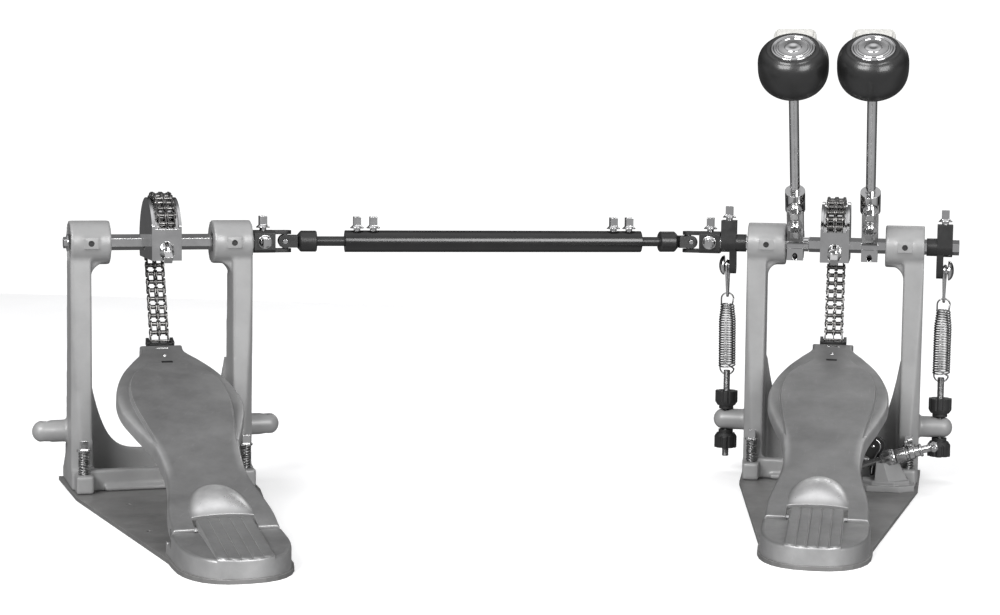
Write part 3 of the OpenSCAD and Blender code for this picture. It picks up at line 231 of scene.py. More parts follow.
def through(stations, u):
    """A smooth curve through (place, value) stations: cubic pieces with the slopes of their neighbours."""
    s = np.array(stations, float)
    slope = np.zeros(len(s))
    slope[1:-1] = (s[2:, 1] - s[:-2, 1]) / (s[2:, 0] - s[:-2, 0])
    i = np.clip(np.searchsorted(s[:, 0], u, side="right") - 1, 0, len(s) - 2)
    d = s[i + 1, 0] - s[i, 0]
    t = np.clip((u - s[i, 0]) / d, 0, 1)
    return (s[i, 1] * (2 * t ** 3 - 3 * t ** 2 + 1) + s[i + 1, 1] * (3 * t ** 2 - 2 * t ** 3)
            + d * slope[i] * (t ** 3 - 2 * t ** 2 + t) + d * slope[i + 1] * (t ** 3 - t ** 2))


def eased(t):
    """Rises smoothly from 0 to 1 between t = 0 and t = 1."""
    t = np.clip(t, 0, 1)
    return t * t * (3 - 2 * t)


# ---------------------------------------------------------------- finishes

class Nodes:
    """The node tree of a material or a world, with one short call per node."""

    def __init__(self, owner):
        owner.use_nodes = True
        self.owner, self.tree = owner, owner.node_tree
        self.place = self.add("ShaderNodeTexCoord").outputs

    def feed(self, socket, value):
        """A link from another node's output, or a plain value."""
        if isinstance(value, bpy.types.NodeSocket):
            self.tree.links.new(value, socket)
        else:
            socket.default_value = value

    def add(self, kind, *inputs, **values):
        """A node with its first inputs in order, then its named inputs and settings."""
        node = self.tree.nodes.new(kind)
        for socket, value in zip(node.inputs, inputs):
            self.feed(socket, value)
        for key, value in values.items():
            if key.replace("_", " ") in node.inputs:
                self.feed(node.inputs[key.replace("_", " ")], value)
            else:
                setattr(node, key, value)
        return node

    def math(self, operation, *inputs):
        return self.add("ShaderNodeMath", *inputs, operation=operation).outputs[0]

    def normal(self):
        return self.add("ShaderNodeNewGeometry").outputs["Normal"]

    def noise(self, scale, detail=4.0, rough=0.55, stretch=None):
        place = self.place["Object"]
        if stretch:
            place = self.add("ShaderNodeMapping", Vector=place, Scale=stretch).outputs[0]
        node = self.add("ShaderNodeTexNoise", Vector=place, Scale=scale, Detail=detail, Roughness=rough)
        return node.outputs["Fac"]

    def span(self, value, low, high, start=0.35, end=0.65):
        """Runs from low to high while the value runs from start to end."""
        node = self.add("ShaderNodeMapRange", value, start, end, low, high, clamp=True)
        return node.outputs["Result"]

    def mix(self, factor, one, two, blend="MIX"):
        node = self.add("ShaderNodeMix", data_type="RGBA", blend_type=blend)
        for k, value in ((0, factor), (6, one), (7, two)):
            self.feed(node.inputs[k], value)
        return node.outputs[2]

    def set(self, **values):
        """Inputs of the material's skin."""
        for key, value in values.items():
            self.feed(self.tree.nodes["Principled BSDF"].inputs[key.replace("_", " ")], value)

    def edge(self, radius):
        """The normal of the surface with its sharp edges rounded, and how near an edge each point is."""
        soft = self.add("ShaderNodeBevel", Radius=radius * MM, samples=6).outputs[0]
        near = self.add("ShaderNodeVectorMath", soft, self.normal(), operation="DOT_PRODUCT")
        return soft, near.outputs["Value"]

    def bumped(self, height, strength, distance, **normal):
        node = self.add("ShaderNodeBump", Strength=strength, Distance=distance * MM, Height=height, **normal)
        return node.outputs[0]


def grey(value, warm=0.0):
    return (value * (1 + warm), value, value * (1 - warm), 1)


def metal_finish(name, light, dark, rough, round_edge, metallic=1.0, grain=900, grain_depth=0.02, patch=45,
                 worn=None, coat=0.0, warm=0.0):
    """Metal or paint: patches between two greys, a fine grain in the bump, edges rounded and worn to a lighter
    grey."""
    m = Nodes(bpy.data.materials.new(name))
    patches = m.span(m.noise(patch, 6, 0.6), 0, 1)
    colour = m.mix(patches, grey(dark, warm), grey(light, warm))
    normal, near = m.edge(round_edge)
    if worn:
        broken = m.math("MULTIPLY", m.span(near, 1, 0, 0.80, 0.985), m.span(m.noise(160, 5, 0.7), 0.15, 0.9))
        colour = m.mix(broken, colour, grey(worn, warm))
    m.set(Base_Color=colour, Metallic=metallic, Coat_Weight=coat, Coat_Roughness=0.08,
          Roughness=m.span(m.noise(patch * 2.3, 5, 0.6), rough[0], rough[1]),
          Normal=m.bumped(m.noise(grain, 3, 0.5), 0.35, grain_depth, Normal=normal))
    return m.owner


CAST = metal_finish("cast frame paint", 0.30, 0.255, (0.36, 0.48), 0.9, metallic=0.2, grain=1500, grain_depth=0.05,
                    patch=28, worn=0.52)
PLATE = metal_finish("base plate grey", 0.215, 0.165, (0.34, 0.48), 0.5, metallic=0.3, grain=1100, grain_depth=0.04,
                     patch=22, worn=0.38, warm=0.01)
CHROME = metal_finish("polished chrome", 0.66, 0.57, (0.06, 0.12), 0.45, grain=260, grain_depth=0.006, patch=60)
STEEL = metal_finish("bright pressed steel", 0.56, 0.42, (0.16, 0.28), 0.5, grain=700, grain_depth=0.02, patch=70)
GROUND = metal_finish("ground bearing steel", 0.50, 0.40, (0.16, 0.26), 0.3, grain=900, grain_depth=0.01)
CHAIN = metal_finish("oiled chain steel", 0.22, 0.10, (0.22, 0.38), 0.25, grain=800, grain_depth=0.02, patch=130,
                     warm=0.02)
BLACK = metal_finish("satin black coat", 0.015, 0.010, (0.30, 0.44), 0.7, metallic=0.0, grain=1400,
                     grain_depth=0.03, patch=50, worn=0.055, coat=0.12)
TUBE = metal_finish("gloss black tube", 0.009, 0.006, (0.22, 0.30), 0.5, metallic=0.0, grain=300, grain_depth=0.004,
                    patch=40, coat=0.25)
HEAD = metal_finish("gloss black head", 0.016, 0.011, (0.30, 0.38), 0.5, metallic=0.0, grain=900, grain_depth=0.012,
                    patch=60, coat=0.25)
SCREW = metal_finish("screw steel", 0.34, 0.22, (0.24, 0.36), 0.2, grain=900, grain_depth=0.01, patch=90)
KNOB = metal_finish("black knob", 0.015, 0.010, (0.34, 0.46), 0.6, metallic=0.0, grain=1300, grain_depth=0.03,
                    coat=0.08)
BORE = metal_finish("black screw", 0.008, 0.005, (0.4, 0.5), 0.2, metallic=0.0, grain=1300, grain_depth=0.02)


def board_finish():
    """Cast aluminium that shoes have scuffed: cloudy greys, short scratches along and across, and worn rims. Faces
    turned away from straight up, and the points that the point attribute marks, get a bright grey that is also more
    metallic
    and smoother: partly real polish, partly painted highlight."""
    m = Nodes(bpy.data.materials.new("scuffed cast board"))
    clouds = m.span(m.noise(16, 8, 0.62), 0, 1, 0.36, 0.66)
    colour = m.mix(clouds, grey(0.165), grey(0.25))
    along = m.noise(120, 6, 0.75, (5, 0.55, 1))
    across = m.noise(95, 6, 0.75, (0.6, 6, 1))
    colour = m.mix(m.span(along, 0, 0.35, 0.60, 0.76), colour, grey(0.46))
    colour = m.mix(m.span(across, 0, 0.35, 0.62, 0.78), colour, grey(0.13))
    # Painted highlight, partly real polish: a face's colour turns towards the bright grey the less it faces up
    upwards = m.add("ShaderNodeSeparateXYZ", m.normal()).outputs["Z"]
    polish_and_highlight = m.add("ShaderNodeAttribute", attribute_name="polish_and_highlight").outputs["Fac"]
    buffed_and_highlit = m.math("MAXIMUM", m.span(upwards, 0.40, 0, 0.10, 0.70), polish_and_highlight)
    polish_highlight_grey = m.mix(m.span(m.noise(60, 6, 0.7), 0, 1), grey(0.66), grey(0.80))
    normal, near = m.edge(0.8)
    colour = m.mix(m.span(near, 0.6, 0, 0.82, 0.99), m.mix(buffed_and_highlit, colour, polish_highlight_grey), grey(0.62))
    m.set(Base_Color=colour, Metallic=m.math("MULTIPLY_ADD", buffed_and_highlit, 0.22, 0.57),
          Roughness=m.math("MULTIPLY_ADD", buffed_and_highlit, -0.17, m.span(m.noise(40, 6, 0.7), 0.40, 0.54)),
          Normal=m.bumped(m.noise(700, 4, 0.6), 0.3, 0.05, Normal=normal))
    return m.owner


def felt_finish():
    """Pressed off-white felt: fibres and pills in the bump, and a soft sheen."""
    m = Nodes(bpy.data.materials.new("pressed felt"))
    pills = m.noise(330, 5, 0.65)
    colour = m.mix(m.span(pills, 0, 1), (0.44, 0.435, 0.415, 1), (0.56, 0.555, 0.53, 1))
    pile = m.math("MULTIPLY_ADD", pills, 1.6, m.noise(1500, 6, 0.7, (1, 0.35, 1)))
    m.set(Base_Color=colour, Roughness=0.95, Sheen_Weight=0.15, Sheen_Roughness=0.5,
          Normal=m.bumped(pile, 0.8, 0.5))
    return m.owner


BOARD = board_finish()
FELT = felt_finish()
FINISHES = {"cast_frame": CAST, "plate": PLATE, "cast_board": BOARD, "chromed": CHROME, "bearing": GROUND,
            "chain": CHAIN, "black_metal": BLACK, "tube": TUBE, "knob": KNOB, "head": HEAD, "felt": FELT,
            "jaw": STEEL, "socket": BORE, "screw": SCREW}


def shown(name, data):
    """A new object of the scene."""
    piece = bpy.data.objects.new(name, data)
    bpy.context.scene.collection.objects.link(piece)
    return piece


def coated(mesh, slot):
    """Gives a mesh its slot's finish and no other."""
    mesh.materials.clear()
    mesh.materials.append(FINISHES[slot])


for row in frame["record"]["subparts"]:
    coated(NODES[row["node"]].data, row["material_slot"])


def add(name, shell, body, slot, place=(), nodes=(), bend=None, smooth=38, polish_and_highlight=None):
    """A new piece from a shell in millimetres: put in place by each move in turn, finished, smoothed up to an angle
    in degrees, and fixed to its body; given a bend, it is left loose with its place baked into its points (the
    bodies and ends in bend are not used)."""
    points, faces = shell
    for move in place:
        points = move(points)
    mesh = bpy.data.meshes.new(name)
    mesh.from_pydata((points * MM).tolist(), [], faces)
    mesh.update()
    mesh.polygons.foreach_set("use_smooth", np.ones(len(mesh.polygons), bool))
    coated(mesh, slot)
    piece = shown(name, mesh)
    mesh.set_sharp_from_angle(angle=rad(smooth))
    if polish_and_highlight is not None:
        mesh.attributes.new("polish_and_highlight", "FLOAT", "POINT").data.foreach_set("value", polish_and_highlight)
    if nodes:
        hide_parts(*nodes)
    if bend:
        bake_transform(piece)
    else:
        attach(piece, body)
    return piece


# ---------------------------------------------------------------- footboards

PEDALS = (("main", []), ("slave", [at_slave]))
EAR_IN, EAR_EDGE, EAR_END = 21.7, 22.1, 7.0
BOARD_TOP, SKIRT, WALL, TREAD_H, ROLL = 6.0, 11.0, 3.4, 3.0, 2.6
BOARD_LOW = BOARD_TOP - SKIRT
FLANK_DROP = 2.4
DOME_U, DOME_MID, DOME_LEN, DOME_H = 9.0, 14.0, 40.0, 7.5
CREST_U, CREST_LEN, CREST_H = 30.5, 38.07, 35.15
BOARD_W = [(7, 36.7), (24.9, 35.2), (62.1, 29.6), (87.9, 29), (118.1, 32), (150, 40.5), (175.8, 46.5),
           (198.1, 47.5), (220.1, 44.5), (245, 37), (264, 26.5), (280.4, 17.6), (293.03, 17)]
TREAD_W = [(0, 28), (87.9, 27.8), (118.1, 29.4), (150, 33.5), (175.8, 36.5), (198.1, 37.2), (220.1, 34.5),
           (238, 28.5), (264, 15)]


def dome_share(x, u):
    """How deep a point of the plan lies in the dome: 1 in its middle and 0 on its outline, which is straight up to
    DOME_MID and half an ellipse from there on."""
    return 1 - (x / EAR_IN) ** 2 - (np.maximum(u - DOME_MID, 0) / DOME_LEN) ** 2


def board_rise(x, u):
    """Height over the board's flange. The tread steps up inside its outline, sinks to the flange towards the waist,
    and fades out before the tip. The dome's middle line is an arc along the board, low at the lip, and it falls as
    (1 - (x/w)^2)^0.8 to its outline w. The flanks round off outwards."""
    half = through(TREAD_W, u)
    ends = eased((u - 66) / 88) * eased((266 - u) / 46)
    tread = TREAD_H * eased((half - np.abs(x)) / 1.3 + 0.5) * ends
    crest = np.sqrt(np.maximum(1 - ((u - CREST_U) / CREST_LEN) ** 2, 0)) * CREST_H - (CREST_H - DOME_H)
    wide = EAR_IN * np.sqrt(np.maximum(1 - (np.maximum(u - DOME_MID, 0) / DOME_LEN) ** 2, 1e-4))
    dome = np.maximum(crest, 0) * np.maximum(1 - (x / wide) ** 2, 0) ** 0.8
    edge = through(BOARD_W, u)
    flank = np.clip((np.abs(x) - half) / np.maximum(edge - half, 1), 0, 1)
    fall = FLANK_DROP * flank ** 2 * eased((u - 50) / 40) * eased((BOARD_LEN - 26 - u) / 30)
    return np.maximum(np.maximum(tread, dome), 0) - fall


def board_shell():
    """The footboard as rings across it: up one skirt, over the top, down the other, and back underneath."""
    tip = BOARD_LEN - np.array([WALL + 0.05, WALL - 0.05, 2.0, 1.2, 0.5, 0.15, 0.0])
    u = np.concatenate([DOME_U + 0.2 + 46 * np.linspace(0, 1, 56) ** 1.5, np.linspace(56, BOARD_LEN - 4, 144), tip])
    t = np.linspace(0, np.pi / 2, 6)
    low = BOARD_LOW
    rings = []
    for k in range(len(u)):
        half = through(BOARD_W, u[k])
        drop = ROLL * (1 - math.sqrt(max(0.0, 1 - max(0.0, u[k] - (BOARD_LEN - ROLL)) ** 2 / ROLL ** 2)))
        brow = BOARD_TOP + board_rise(np.array([half - ROLL]), u[k:k + 1])[0]
        side = np.stack([half - ROLL * (1 - np.cos(t)), brow - ROLL + ROLL * np.sin(t)], 1)
        tread = min(through(TREAD_W, u[k]), half - ROLL - 1.2)
        x = np.concatenate([(tread - 1) * np.linspace(0, 1, 42), tread + np.linspace(-0.85, 0.85, 8),
                            tread + 1 + (half - ROLL - tread - 1) * np.linspace(0, 1, 12)])
        x = np.concatenate([-x[:0:-1], x])
        top = BOARD_TOP + board_rise(x, np.full_like(x, u[k]))
        inner = half - WALL
        if u[k] > BOARD_LEN - WALL:
            bed = [(inner, low), (inner - 0.6, low), (inner - 1.2, low)]
        else:
            roof = BOARD_TOP - WALL
            bed = [(inner, low + 0.02), (inner, roof - 0.01), (inner - 1.2, roof)]
        under = np.array([(half - 0.5, low), (inner + 0.5, low)] + bed)
        right = np.concatenate([side[:1] * [1, 0] + [0, low + 0.5], side[:-1]])
        ring = np.concatenate([right * [-1, 1], np.stack([x, top], 1), right[::-1], under, under[::-1] * [-1, 1]])
        if drop > 0:
            limit = np.minimum(ring[:, 1], BOARD_TOP - drop + board_rise(0, u[k]))
            ring[:, 1] = np.where(ring[:, 1] > low + 1, limit, ring[:, 1])
        rings.append(np.column_stack([ring[:, 0], np.full(len(ring), u[k]), ring[:, 1]]))
    points, faces = lofted(np.array(rings))
    lip = rings[0][(rings[0][:, 2] > 3) & (np.abs(rings[0][:, 0]) <= EAR_EDGE)]
    wall = np.concatenate([lip, [[*lip[-1, :2], BOARD_TOP - WALL], [*lip[0, :2], BOARD_TOP - WALL]]])
    return joined((points, faces[:-2] + faces[-1:]), (wall, [list(range(len(wall)))[::-1]]))


def board_ears():
    """The two ears that hold the heel pin, drawn along the board: rounded under the pin, a small arris on top."""
    t = np.linspace(0, np.pi / 2, 6)
    stations = [(-EAR_END + 0.9 * (1 - math.cos(k)), 0.9 * (1 - math.sin(k))) for k in t]
    stations += [(u, 0.0) for u in (-5, -4, -3, 0, 3, 6, DOME_U + 0.2)]
    rings = []
    for u, drop in stations:
        out, top = through(BOARD_W, u), BOARD_TOP - drop
        low = BOARD_LOW + 4 - math.sqrt(16 - min(4.0, max(0.0, -3 - u)) ** 2)
        brow = np.stack([out - ROLL * (1 - np.sin(t)), top - ROLL * (1 - np.cos(t))], 1)
        inner = [(EAR_EDGE, low), (EAR_IN, low + 0.4), (EAR_IN, top - 0.5), (EAR_IN + 0.15, top - 0.15),
                 (EAR_IN + 0.5, top)]
        ring = np.concatenate([inner, brow, [(out, low + 0.5), (out - 0.5, low)]])
        rings.append(np.column_stack([ring[:, 0], np.full(len(ring), u), ring[:, 1]]))
    points, faces = lofted(np.array(rings))
    return mirrored((points, faces[:-1]))


def polish_and_highlight_of(shell):
    """How far each point of the board gets the bright grey: the dome, most in its middle as a painted highlight
    over polish and least near its lip as painted shade, and partly the rims of the flanks as a painted highlight
    line over polish.
    """
    x, u = np.abs(shell[0][:, 0]), shell[0][:, 1]
    top = shell[0][:, 2] > BOARD_TOP - 4
    # Dome: painted highlight over polish, brightest in the middle, falling to a quarter at the lip as painted shade
    dome_polish_highlight = eased(dome_share(x, u) / 0.55 + 0.1) * (0.25 + 0.75 * eased((u - DOME_U) / 8))
    # Flank rims: a painted highlight line, partly polish
    rim = eased((x - through(BOARD_W, u) + 7) / 7) * eased((u - 60) / 30) * eased((230 - u) / 70) * 0.45
    return np.maximum(dome_polish_highlight, rim) * top


def block_outline(wide, deep, radius):
    """A rounded oblong with these half widths."""
    return outline([(-wide, -deep), (wide, -deep), (wide, deep), (-wide, deep)], radius)


BOARD_CASTING = joined(board_shell(), board_ears())
TOE_SCREW = revolved([(0, -2), (1.75, -2), (1.75, 0.1), (1.5, 0.5), (0.9, 0.75), (0.6, 0.75), (0.5, 0.2),
                      (0, 0.2)], 28)
# The toe slot is a flat black patch a little proud of the board: its black is painted shade that stands in for the
# slot's depth
TOE_SLOT_SHADE = slab(block_outline(4.4, 1.6, 0.6), -1, 0.40, 0.05)
TOE_BAR = slab(block_outline(5.5, 1.1, 1.0), -1, 0.3, 0.25)
for pedal, place in PEDALS:
    body, place = f"{pedal}_board", [at_board] + place
    add(f"{pedal}_board_casting", BOARD_CASTING, body, "cast_board", place, [f"{pedal}_footboard"], smooth=34,
        polish_and_highlight=polish_and_highlight_of(BOARD_CASTING))
    for part, shell, back, slot in (("screw", TOE_SCREW, 21, "chromed"), ("slot_shade", TOE_SLOT_SHADE, 33.5, "socket"),
                                    ("bar", TOE_BAR, 6, "chromed")):
        add(f"{pedal}_toe_{part}", lifted(shell, 0, BOARD_LEN - back, BOARD_TOP), body, slot, place)


# ---------------------------------------------------------------- frame castings

def welded(piece, outwards=True):
    """Merges the points that lie on each other, and turns every face outwards."""
    b = bmesh.new()
    b.from_mesh(piece.data)
    bmesh.ops.remove_doubles(b, verts=b.verts, dist=0.00001)
    if outwards:
        bmesh.ops.recalc_face_normals(b, faces=b.faces)
    b.to_mesh(piece.data)
    b.free()
    return piece


def softened(node, voxel, passes):
    """A casting with rounded arrises: the solid's skin is drawn again on a fine even grid, then each point moves
    half of the way to the mean of its neighbours, several times over."""
    piece = shown(f"{node}_casting", NODES[node].data.copy())
    welded(piece, False)
    grid = piece.modifiers.new("grid", "REMESH")
    grid.mode, grid.voxel_size, grid.use_smooth_shade = "VOXEL", voxel * MM, True
    melt = piece.modifiers.new("melt", "SMOOTH")
    melt.factor, melt.iterations = 0.5, passes
    shape = bpy.data.meshes.new_from_object(piece.evaluated_get(bpy.context.evaluated_depsgraph_get()))
    piece.modifiers.clear()
    piece.data = shape
    slot = next(r for r in frame["record"]["subparts"] if r["node"] == node)["material_slot"]
    coated(shape, slot)
    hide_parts(node)
    return piece


for pedal in ("main", "slave"):
    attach(softened(f"{pedal}_frame", 1.3, 5), f"{pedal}_frame")


HEEL_HALF, HEEL_START, HEEL_NOSE, HEEL_LOW = 38.0, 299.0, 357.0, 3.0
RAMP_HALF, RIDGE_Y, RIDGE_Z, SEAT_Z, NOSE_Z, KNUCKLE, RIBS = 18.9, 285.9, 20.2, 11.0, 15.0, 7.6, 5


def heel_top(x, y):
    """Height of the heel plate at x and distance y towards the player. Side seats with a deep slot beside the
    ramp, then a ridge that falls to the nose; between them a ramp with five ribs over the knuckle. All rolls down
    at the outline, (x/a)^2.5 + (y/b)^2.5 = 1."""
    reach = np.clip((y - HEEL_START) / (HEEL_NOSE - HEEL_START), 0, 1)
    wide = np.abs(x) / HEEL_HALF
    steep = 2.5 * np.sqrt((wide ** 1.5 / HEEL_HALF) ** 2 + (reach ** 1.5 / (HEEL_NOSE - HEEL_START)) ** 2)
    inside = np.maximum(1 - wide ** 2.5 - reach ** 2.5, 0) / np.maximum(steep, 1e-6)
    slope = NOSE_Z + (RIDGE_Z - NOSE_Z) * (HEEL_NOSE + 2 - y) / (HEEL_NOSE + 2 - RIDGE_Y)
    seat = np.where(y > RIDGE_Y, slope, np.where(np.abs(x) < EAR_EDGE, HEEL_LOW + 2, SEAT_Z))
    past = y + HINGE[0]
    ramp = HINGE[1] + KNUCKLE + (NOSE_Z + 0.6 - HINGE[1] - KNUCKLE) * past / (HEEL_NOSE + HINGE[0])
    barrel = HINGE[1] + np.sqrt(np.maximum(KNUCKLE ** 2 - past ** 2, 0))
    ramp = np.where(past < 0, barrel, ramp)
    pitch = 2 * RAMP_HALF / RIBS
    t = (x + RAMP_HALF) / pitch % 1
    rib = 0.8 * np.clip(np.minimum(t, 1 - t) * pitch / 0.7, 0, 1) ** 0.6 + 0.25 * (1 - (2 * t - 1) ** 2)

    def roll(radius):
        return radius - np.sqrt(radius ** 2 - np.clip(radius - inside, 0, radius) ** 2)
    ramp = ramp + rib * np.clip((inside - 0.3 - 1.6 * (2 * t - 1) ** 2) / 1.3, 0, 1) ** 0.5 - roll(0.7)
    return np.where(np.abs(x) <= RAMP_HALF, ramp, seat - roll(2.2))


def heel_shell():
    """The heel plate as rings across it: over the top between its two sides, and back along its flat underside."""
    b = np.linspace(0, np.pi / 2, 110)[1:]
    back = -HINGE[0]
    knuckle = back - KNUCKLE * np.cos(np.linspace(0, np.pi / 2, 12))
    nose = HEEL_START + (HEEL_NOSE - HEEL_START) * np.sin(b) ** 0.8
    y = np.concatenate([[back - 12, back - KNUCKLE - 0.05], knuckle, np.linspace(back + 1, RIDGE_Y - 0.3, 7),
                        np.linspace(RIDGE_Y + 0.1, HEEL_START, 10), nose])
    w = np.concatenate([np.full(len(y) - len(b), HEEL_HALF), HEEL_HALF * np.maximum(np.cos(b), 1e-6) ** 0.8])
    centre = np.linspace(-1, 1, 191)
    side = 1 - (1 - np.linspace(0, 1, 14)[1:]) ** 1.6
    rings = []
    for k in range(len(y)):
        half = min(RAMP_HALF, w[k])
        outer = half + 0.02 + np.maximum(w[k] - half - 0.02, 0) * np.concatenate([[0], side])
        x = np.concatenate([-outer[::-1], half * centre, outer])
        top = np.column_stack([x, np.full(len(x), y[k]), heel_top(x, np.full_like(x, y[k]))])
        if y[k] < back - KNUCKLE:
            top[:, 2] = SEAT_Z
        wall = np.array([(0, 0, -0.35), (0, 0, -0.9), (0, 0, -4)])
        foot = [(x[-1], y[k], HEEL_LOW), (x[0], y[k], HEEL_LOW)]
        rings.append(np.concatenate([top, top[-1] + wall, foot, (top[0] + wall)[::-1]]))
    p, f = lofted(np.array(rings))
    return p * [1, -1, 1], f


def threaded_rod(radius, low, high, pitch=1.0, sides=16):
    """A screw rod: r = R - d t, where t runs from 0 to 1 and back along each turn of the thread."""
    z = np.linspace(low, high, int((high - low) / pitch * 6))
    a = np.linspace(0, 2 * np.pi, sides, endpoint=False)
    turn = (z[:, None] / pitch - a[None] / (2 * np.pi)) % 1
    r = radius - 0.42 * np.abs(2 * turn - 1)
    r[[0, -1]] = radius - 0.6
    rings = np.stack([r * np.cos(a), r * np.sin(a), np.broadcast_to(z[:, None], r.shape)], -1)
    return lofted(rings)


ARM_Y = 18.578
ROD_R, ROD_TOP = 2.95, 89.0
add("tension_rod_threads", joined(lifted(threaded_rod(ROD_R, 20.7, ROD_TOP), ROD_X, ARM_Y, 0),
                                  lifted(threaded_rod(ROD_R, 14.4, ROD_TOP), -ROD_X, ARM_Y, 0)),
    "main_frame", "screw", nodes=["tension_rods"], smooth=50)

HOUSING_X, HOUSING_R = 57.0, 17.5
PAD = facing(slab(block_outline(6, 4.5, 0.7), 0, 0.95, 0.3))
KEY = facing(revolved([(0, 0), (2.4, 0), (2.4, 1.0), (2.25, 1.12), (1.5, 1.12), (1.4, 1.0), (0, 1.0)], 24))
for pedal, place in PEDALS:
    for side, x in (("right", HOUSING_X), ("left", -HOUSING_X)):
        name, body = f"{pedal}_{side}", f"{pedal}_frame"
        add(name + "_pad", lifted(PAD, x, -HOUSING_R + 0.35, AXLE_H), body, "cast_frame", place)
        add(name + "_set_screw", lifted(KEY, x, -HOUSING_R + 0.32, AXLE_H), body, "socket", place)


# ---------------------------------------------------------------- beaters

BEATER_LEN, HEAD_R, HEAD_UP, HEAD_DOWN, CAP_R, CAP_T = 184.0, 27.7, 15.7, 25.0, 17.2, 2.0
FELT_FACE, FELT_OUT, FELT_W, FELT_UP, FELT_DOWN = 22.0, 32.0, 34.0, 12.7, 19.0


def head_shell():
    """A black head about the rod's axis: r = 27.7 cos^0.72 a and z = h sin^0.72 a, its crown clipped flat round the
    cap, and cut flat where the felt sits."""
    a = np.radians(np.linspace(-86, 66, 64))
    height = np.where(a < 0, HEAD_DOWN, HEAD_UP + 2.7)
    side = np.stack([HEAD_R * np.cos(a) ** 0.72, height * np.sign(a) * np.abs(np.sin(a)) ** 0.72], 1)
    side = side[side[:, 1] < HEAD_UP - 0.9]
    x = side[-1, 0]
    crown = [(x - 0.5, HEAD_UP - 0.45), (x - 1.0, HEAD_UP - 0.15), (CAP_R + 0.7, HEAD_UP),
             (CAP_R + 0.2, HEAD_UP - 0.2), (CAP_R, HEAD_UP - 1.2), (0, HEAD_UP - 1.2)]
    p, f = revolved(np.concatenate([[(0, -HEAD_DOWN)], side, crown]), 96)
    p[:, 1] = np.where(p[:, 1] > FELT_FACE, FELT_FACE + 0.04 * (p[:, 1] - FELT_FACE), p[:, 1])
    return p + [0, 0, BEATER_LEN], f


def cap_shell():
    """The chrome cap in the head's crown: a raised rim and a shallow dish, both domed by 1.1 (1 - (r/R)^2)."""
    rim = [(0, 0.1), (0.35, 0.55), (1.0, 0.7), (1.7, 0.5), (2.1, 0.05), (2.6, -0.35), (3.6, -0.3), (4.0, 0.25),
           (4.6, 0.45), (5.4, 0.3), (5.9, -0.25), (7.6, -0.4)]
    dish = [(6.9, -0.3), (6.4, 0.2), (5.6, 0.5), (3.6, 0.62), (2.2, 0.3), (1.2, 0.1), (0, 0.05)]
    top = [(r, z + 1.1 * (1 - (r / CAP_R) ** 2)) for r, z in [(CAP_R - d, z) for d, z in rim] + dish]
    p, f = revolved([(0, -CAP_T), (CAP_R - 0.3, -CAP_T), (CAP_R, 0.4 - CAP_T)] + top, 96)
    return p + [0, 0, HEAD_UP + BEATER_LEN], f


def felt_shell(seed):
    """A felt slab: a box with its sides drawn in near the corners, its face pitted by summed waves."""
    n, layers = 72, 12
    a = np.linspace(-1, 1, n)
    x, z = np.meshgrid(a, a)
    flat = 1 - 0.030 * (np.abs(x) ** 7 + np.abs(z) ** 7) - 0.115 * np.abs(x) ** 9 * np.abs(z) ** 9
    px = x * flat * FELT_W / 2
    pz = z * flat * (FELT_UP + FELT_DOWN) / 2 + (FELT_UP - FELT_DOWN) / 2
    rng = np.random.default_rng(seed)
    draws = rng.uniform((-1.9, -1.9, 0), (1.9, 1.9, 6.3), (26, 3))
    wave = sum(np.sin(px * fx + pz * fz + ph) / k for k, (fx, fz, ph) in enumerate(draws, 2))
    rim = (1 - np.abs(x) ** 12) * (1 - np.abs(z) ** 12)
    front = np.stack([px, FELT_OUT - 1.5 + 1.5 * rim ** 0.5 + 0.10 * wave * rim, pz], -1)
    edge = np.concatenate([front[0, :-1], front[:-1, -1], front[-1, :0:-1], front[:0:-1, 0]])
    depth = np.linspace(0, 1, layers)[1:, None, None]
    bulge = 1 + 0.022 * np.sin(np.pi * depth) + 0.006 * np.sin(depth * 23 + 1)
    centre = np.array([0, 0, (FELT_UP - FELT_DOWN) / 2])
    walls = centre + (edge - centre) * np.concatenate([bulge, np.ones_like(bulge), bulge], -1)
    walls[..., 1] = edge[:, 1] + (FELT_FACE - 0.25 - edge[:, 1]) * depth[..., 0]
    m = len(edge)
    skirt = np.concatenate([edge[None], walls]).reshape(-1, 3)
    back = [list(range((layers - 1) * m, layers * m))]
    shell = joined(flipped((front.reshape(-1, 3), quads(n, n))), (skirt, quads(layers, m, closed=True) + back))
    return shell[0] + [0, 0, BEATER_LEN], shell[1]


for pedal, place in PEDALS:
    welded(add(f"{pedal}_heel_casting", heel_shell(), f"{pedal}_frame", "cast_board", place,
               [f"{pedal}_heel_plate"], smooth=40))

for side in ("right", "left"):
    place, body = [at_beater(side)], f"{side}_beater"
    add(f"{side}_head_moulding", head_shell(), body, "head", place, [f"{side}_beater_head"])
    add(f"{side}_head_cap", cap_shell(), body, "chromed", place, [f"{side}_beater_cap"])
    felt = welded(add(f"{side}_felt_pad", felt_shell(7 if side == "right" else 11), body, "felt", place,
                      [f"{side}_beater_felt"], smooth=80))


# ---------------------------------------------------------------- springs

WIRE, COIL_R, COIL_LOW, COIL_LEN, TURNS = 1.35, 6.7, 90.6, 56.2, 26
LOW_LOOP, HIGH_LOOP, LOOP_Z = 6.0, 5.2, 89.8


def arc(centre, radius, start, end, n):
    """Points of an arc in the plane of X and Z."""
    a = np.radians(np.linspace(start, end, n))
    return np.stack([radius * np.cos(a), np.zeros(n), radius * np.sin(a)], 1) + centre


